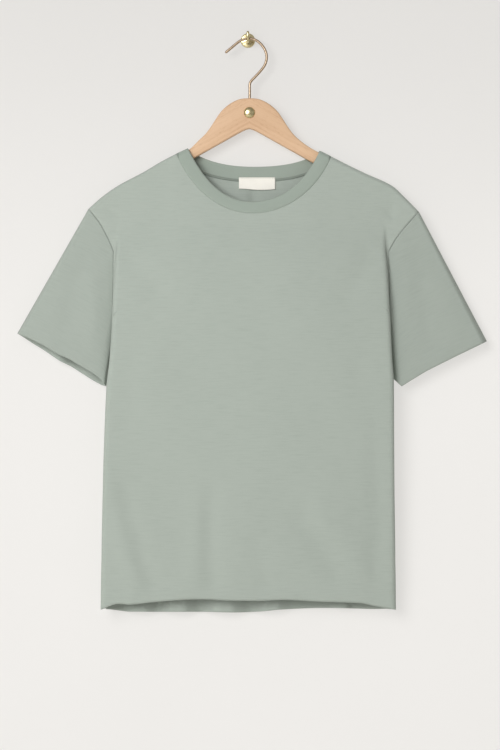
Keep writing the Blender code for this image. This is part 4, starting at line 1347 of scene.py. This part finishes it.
WIRE_ROUTE = (
    (2.4, -84.9), (2.6, -75.0), (2.6, -66.1), (4.2, -61.0), (10.2, -54.5), (17.3, -46.8), (23.3, -38.9),
    (26.2, -31.2), (26.6, -23.8), (24.6, -16.6), (20.2, -9.6), (14.2, -3.8), (7.6, -0.6), (0.6, 0.4),
    (-6.0, -0.9), (-12.4, -4.0), (-21.4, -11.2), (-32.2, -20.2),
)
ROSETTE_RADIUS = 10.3
ROSETTE_THICK = 4.0
PEG_RADIUS = 2.0
PEG_ROUTE = (
    (-4.3, -3.8), (-10.0, -3.8), (-17.2, -3.8), (-20.6, -3.0), (-23.0, -0.9), (-24.3, 2.2), (-24.7, 5.4),
    (-24.9, 8.4),
)

# %% Beech
BEECH = (0.700, 0.475, 0.300)
BEECH_DARK = (0.500, 0.290, 0.160)
ARM_TURN = math.radians(29.0)


def beech():
    tree = Tree("beech_wood")
    place = tree.add("ShaderNodeTexCoord").outputs["Object"]
    axes = tree.add("ShaderNodeSeparateXYZ")
    tree.put(place, axes.inputs[0])
    out = tree.math("ABSOLUTE", tree.math("SUBTRACT", axes.outputs["X"], HANGER_MIDDLE_X * MM))
    up = axes.outputs["Z"]
    along = tree.math("SUBTRACT", tree.math("MULTIPLY", out, math.cos(ARM_TURN)),
                      tree.math("MULTIPLY", up, math.sin(ARM_TURN)))
    across = tree.math("ADD", tree.math("MULTIPLY", out, math.sin(ARM_TURN)),
                       tree.math("MULTIPLY", up, math.cos(ARM_TURN)))
    joined = tree.add("ShaderNodeCombineXYZ")
    tree.put(along, joined.inputs["X"])
    tree.put(across, joined.inputs["Y"])
    tree.put(axes.outputs["Y"], joined.inputs["Z"])
    grain = tree.noise(tree.mapped(joined.outputs[0], (9.0, 260.0, 180.0)), 1.0, 4.0, 0.6)
    bands = tree.noise(tree.mapped(joined.outputs[0], (5.0, 70.0, 60.0)), 1.0, 2.0, 0.5)
    fleck = tree.noise(tree.mapped(joined.outputs[0], (160.0, 1500.0, 700.0)), 1.0, 1.0, 0.4)
    shade = tree.math("ADD", tree.math("MULTIPLY", grain, 0.5), tree.math("MULTIPLY", bands, 0.5))
    dots = tree.math("MULTIPLY", tree.math("GREATER_THAN", fleck, 0.63), 0.09)
    shade = tree.math("SUBTRACT", shade, dots)
    stops = ((0.30, BEECH_DARK), (0.46, between(BEECH_DARK, BEECH, 0.7)), (0.62, BEECH))
    tree.put(tree.ramp(shade, stops), tree.shader.inputs["Base Color"])
    tree.bump(grain, 0.0002, 0.25)
    tree.put(0.08, tree.shader.inputs["Coat Weight"])
    tree.put(0.25, tree.shader.inputs["Coat Roughness"])
    return tree.finish(tree.math("MULTIPLY_ADD", grain, 0.12, 0.46), specular=0.3)


beech_look = beech()

# %% Hanger wood
def arm_top(x):
    return ridge_z(x) - HANGER_BELOW_CLOTH


def hanger_outline():
    """Outline (x, z) of the wooden hanger, clockwise from the left tip."""
    upper, lower = [], []
    for side in (LEFT, RIGHT):
        sign = SIGN[side]
        top = [(HANGER_MIDDLE_X + sign * out, z) for out, z in HANGER_HEAD]
        reach = HANGER_REACH - HANGER_TIP_ROUND
        for out in np.linspace(HANGER_ARM_FROM, reach, HANGER_ARM_STOPS):
            x = HANGER_MIDDLE_X + sign * out
            top.append((x, float(arm_top(x))))
        x, z = top[-1]
        under = []
        for out in np.linspace(reach, HANGER_UNDER_FROM, HANGER_UNDER_STOPS):
            place = HANGER_MIDDLE_X + sign * out
            line = HANGER_APEX_Z - HANGER_SLOPE * out
            deep = float(arm_top(place)) - (HANGER_ARM_DEEP - HANGER_ARM_TAPER * out / HANGER_REACH)
            under.append((place, max(line, deep) if out > HANGER_STRAIGHT else line))
        low = under[0][1]
        middle, radius = (z + low) / 2.0, (z - low) / 2.0
        for angle in np.radians(HANGER_TIP_ANGLES):
            top.append((x + sign * HANGER_TIP_ROUND * math.cos(angle), middle + radius * math.sin(angle)))
        upper.append(top)
        lower.append(under)
    apex = [(HANGER_MIDDLE_X + out, HANGER_APEX_Z + up) for out, up in HANGER_APEX_ROUND]
    return upper[LEFT][::-1] + upper[RIGHT][1:] + lower[RIGHT] + apex[::-1] + lower[LEFT][::-1]


def wooden_hanger():
    data = bpy.data.curves.new("hanger_beech", "CURVE")
    data.dimensions = "2D"
    data.fill_mode = "BOTH"
    data.extrude = (HANGER_THICK / 2.0 - HANGER_EDGE) * MM
    data.bevel_depth = HANGER_EDGE * MM
    data.bevel_resolution = 5
    data.offset = -HANGER_EDGE * MM
    outline = rounded_outline(hanger_outline())
    spline = data.splines.new("POLY")
    spline.points.add(len(outline) - 1)
    for target, (x, z) in zip(spline.points, outline):
        target.co = (x * MM, z * MM, 0.0, 1.0)
    spline.use_cyclic_u = True
    made = add("hanger_beech", data, beech_look)
    made.rotation_euler = (math.radians(90.0), 0.0, 0.0)
    made.location = (0.0, RIDGE_Y * MM, 0.0)
    made = as_mesh(made)
    weld(made)
    smooth_by_angle(made, 40.0)
    return made


def rounded_outline(points):
    """A closed outline with smooth points put between its own."""
    ring = np.array(points + points[:1], float)
    ends = np.concatenate((ring[-2:-1], ring, ring[1:2]))
    made = []
    for index in range(len(ring) - 1):
        four = ends[index:index + 4]
        count = max(1, int(np.linalg.norm(four[2] - four[1]) / OUTLINE_STEP))
        made.extend(tuple(curve_point(four, step / count)) for step in range(count))
    return made


def weld(piece):
    """Doubled points of a filled curve joined into one closed skin."""
    work = bmesh.new()
    work.from_mesh(piece.data)
    bmesh.ops.remove_doubles(work, verts=work.verts[:], dist=0.000005)
    bmesh.ops.recalc_face_normals(work, faces=work.faces[:])
    work.to_mesh(piece.data)
    work.free()


wood = wooden_hanger()
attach(wood, "root")
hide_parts("hanger_wood")
print(wood.name, len(wood.data.polygons), "faces")

# %% [markdown]
# ## Brass
# The stud and the wall hook are pale polished brass, and the hanger's wire is darker and a little pink.
# Fine marks from wiping break up the reflection.

# %% Brass
BRASS = (0.70, 0.60, 0.34)
WIRE_BRASS = (0.47, 0.355, 0.25)


def brass(name, metal, rough):
    tree = Tree(name)
    place = tree.add("ShaderNodeTexCoord").outputs["Object"]
    wiped = tree.noise(tree.mapped(place, (90.0, 90.0, 420.0)), 1.0, 3.0, 0.6)
    cloud = tree.noise(tree.mapped(place, (140.0, 140.0, 140.0)), 1.0, 2.0)
    colour = tree.ramp(cloud, ((0.3, between(metal, BLACK, 0.16)), (0.7, metal)))
    tree.put(colour, tree.shader.inputs["Base Color"])
    tree.bump(wiped, 0.00005, 0.2)
    return tree.finish(tree.math("MULTIPLY_ADD", wiped, 0.16, rough), metallic=1.0)


brass_look = brass("polished_brass", BRASS, 0.20)
wire_look = brass("aged_brass", WIRE_BRASS, 0.34)

# %% Hook, stud and wall hook
hook_route = [(x, RIDGE_Y, z) for x, z in WIRE_ROUTE]
hook = wire("hanger_wire", rounded_route(hook_route, 6), WIRE_RADIUS, wire_look, True)
smooth_by_angle(hook, 60.0)
dome_angles = np.radians(np.linspace(2, 84, 16))
dome_profile = [(STUD_RADIUS * math.sin(a), STUD_HEIGHT * math.cos(a)) for a in dome_angles]
dome_profile += [(STUD_RADIUS, 0.15), (STUD_RADIUS - 0.3, 0.0), (0.2, 0.0)]
stud_place = (HANGER_MIDDLE_X, RIDGE_Y - HANGER_THICK / 2.0 - SEAM_GAP, STUD_Z)
stud = turned("hanger_dome", dome_profile, brass_look, stud_place)
disc_profile = [(0.2, ROSETTE_THICK), (3.6, ROSETTE_THICK), (4.2, 3.7), (8.4, 3.5)]
rim_angles = np.radians(np.linspace(15, 90, 8))
disc_profile += [(8.4 + 1.9 * math.sin(a), 1.7 + 1.8 * math.cos(a)) for a in rim_angles]
disc_profile += [(ROSETTE_RADIUS, 0.0), (0.2, 0.0)]
disc = turned("wall_disc", disc_profile, brass_look, (0.0, 0.0, 0.0))
peg_route = [(0.0, y, z) for y, z in PEG_ROUTE]
peg = wire("wall_hook_peg", rounded_route(peg_route, 6), PEG_RADIUS, brass_look, True)
smooth_by_angle(peg, 60.0)
for piece, node in ((hook, "hanger_hook"), (stud, "hanger_stud"), (disc, "wall_rosette"), (peg, "wall_peg")):
    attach(piece, "root")
    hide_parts(node)
    print(piece.name, len(piece.data.polygons), "faces")

# %% [markdown]
# ## Wall, floor and light
# A pale plastered wall stands behind the hook, and a plain pale floor lies below. The wall can't be seen
# from behind, so the shirt's back can be looked at. One large soft light comes from the upper left and
# front, with a weak fill from the right. The wall also gives off part of its own brightness, which keeps
# the shadows on it as pale as they are in a bright room. Its colour carries painted shade, a little
# darker toward its top and its left.

# %% Stage
WALL = (0.83, 0.815, 0.79)
WALL_Y = 0.8
# Painted shade on the wall: the share of colour left at its top, and the change per metre across it.
WALL_TOP_PAINTED_SHADE = 0.875
WALL_SIDE_PAINTED_SHADE = 0.03
WALL_GLOW = 0.68
WALL_GLOW_GAIN = 1.06
FLOOR_Z = -1450.0


def plain_material(name, colour, hidden_behind):
    """Matt paint; the wall's copy gets painted shade, a little darker toward its top and its left, and a
    glow of its own.
    """
    tree = Tree(name)
    place = tree.add("ShaderNodeTexCoord").outputs["Object"]
    mottle = tree.noise(place, 2.2, 3.0, 0.5)
    paint = tree.ramp(mottle, ((0.3, between(BLACK, colour, 0.985)), (0.7, colour)))
    own_light = WALL_GLOW if hidden_behind else 0.0
    if hidden_behind:
        # Painted shade: the wall's colour darkens toward its top and a little toward its left.
        axes = tree.add("ShaderNodeSeparateXYZ")
        tree.put(place, axes.inputs[0])
        painted_top_shade = tree.add("ShaderNodeMapRange", interpolation_type="SMOOTHSTEP")
        tree.put(axes.outputs["Y"], painted_top_shade.inputs["Value"])
        for socket, value in zip(painted_top_shade.inputs[1:5], (-0.18, 0.42, 1.0, WALL_TOP_PAINTED_SHADE)):
            socket.default_value = value
        shade = tree.math("MULTIPLY_ADD", axes.outputs["X"], WALL_SIDE_PAINTED_SHADE, painted_top_shade.outputs[0])
        painted_wall_shade = tree.add("ShaderNodeVectorMath", operation="SCALE")
        tree.put(paint, painted_wall_shade.inputs[0])
        tree.put(shade, painted_wall_shade.inputs["Scale"])
        paint = painted_wall_shade.outputs[0]
    taken = tree.add("ShaderNodeVectorMath", operation="SCALE")
    tree.put(paint, taken.inputs[0])
    taken.inputs["Scale"].default_value = 1.0 - own_light
    tree.put(taken.outputs[0], tree.shader.inputs["Base Color"])
    tree.put(paint, tree.shader.inputs["Emission Color"])
    tree.shader.inputs["Emission Strength"].default_value = own_light * WALL_GLOW_GAIN
    made = tree.finish(0.9, specular=0.1)
    if hidden_behind:
        clear = tree.add("ShaderNodeBsdfTransparent")
        mix = tree.add("ShaderNodeMixShader")
        tree.put(tree.add("ShaderNodeNewGeometry").outputs["Backfacing"], mix.inputs[0])
        tree.put(tree.shader.outputs[0], mix.inputs[1])
        tree.put(clear.outputs[0], mix.inputs[2])
        output = next(node for node in tree.nodes if node.type == "OUTPUT_MATERIAL")
        tree.put(mix.outputs[0], output.inputs["Surface"])
    return made


def stage_plane(name, size, place, turn, look):
    wide, tall = size[0] / 2.0 * MM, size[1] / 2.0 * MM
    mesh = bpy.data.meshes.new(name)
    mesh.from_pydata([(-wide, -tall, 0.0), (wide, -tall, 0.0), (wide, tall, 0.0), (-wide, tall, 0.0)], [],
                     [(0, 1, 2, 3)])
    made = add(name, mesh, look)
    made.location = tuple(value * MM for value in place)
    made.rotation_euler = turn
    return made


wall_plane = stage_plane("wall", (5200.0, 3200.0), (0.0, WALL_Y, -300.0), (math.radians(90.0), 0.0, 0.0),
                         plain_material("wall_paint_and_painted_shade", WALL, True))
wall_plane.visible_shadow = False
stage_plane("floor", (9000.0, 9000.0), (0.0, 0.0, FLOOR_Z), (0.0, 0.0, 0.0),
            plain_material("floor_paint", WALL, False))

# %% Light
KEY_POWER = 76.0
FILL_POWER = 2.0
WORLD_LIGHT = 0.33


def soft_light(name, place, aim, size, power):
    data = bpy.data.lights.new(name, "AREA")
    data.shape = "DISK"
    data.size = size
    data.energy = power
    made = bpy.data.objects.new(name, data)
    made.location = place
    made.rotation_euler = (Vector(aim) - Vector(place)).to_track_quat("-Z", "Y").to_euler()
    bpy.context.scene.collection.objects.link(made)
    return made


soft_light("key", (-1.25, -2.9, 0.35), (0.0, 0.0, -0.5), 1.8, KEY_POWER)
soft_light("fill", (2.2, -2.4, 0.2), (0.0, 0.0, -0.5), 2.2, FILL_POWER)
world = bpy.data.worlds.new("studio")
world.use_nodes = True
bpy.context.scene.world = world
background = world.node_tree.nodes["Background"]
background.inputs["Color"].default_value = (1.0, 0.985, 0.96, 1.0)
background.inputs["Strength"].default_value = WORLD_LIGHT
bpy.context.scene.view_settings.view_transform = "Standard"
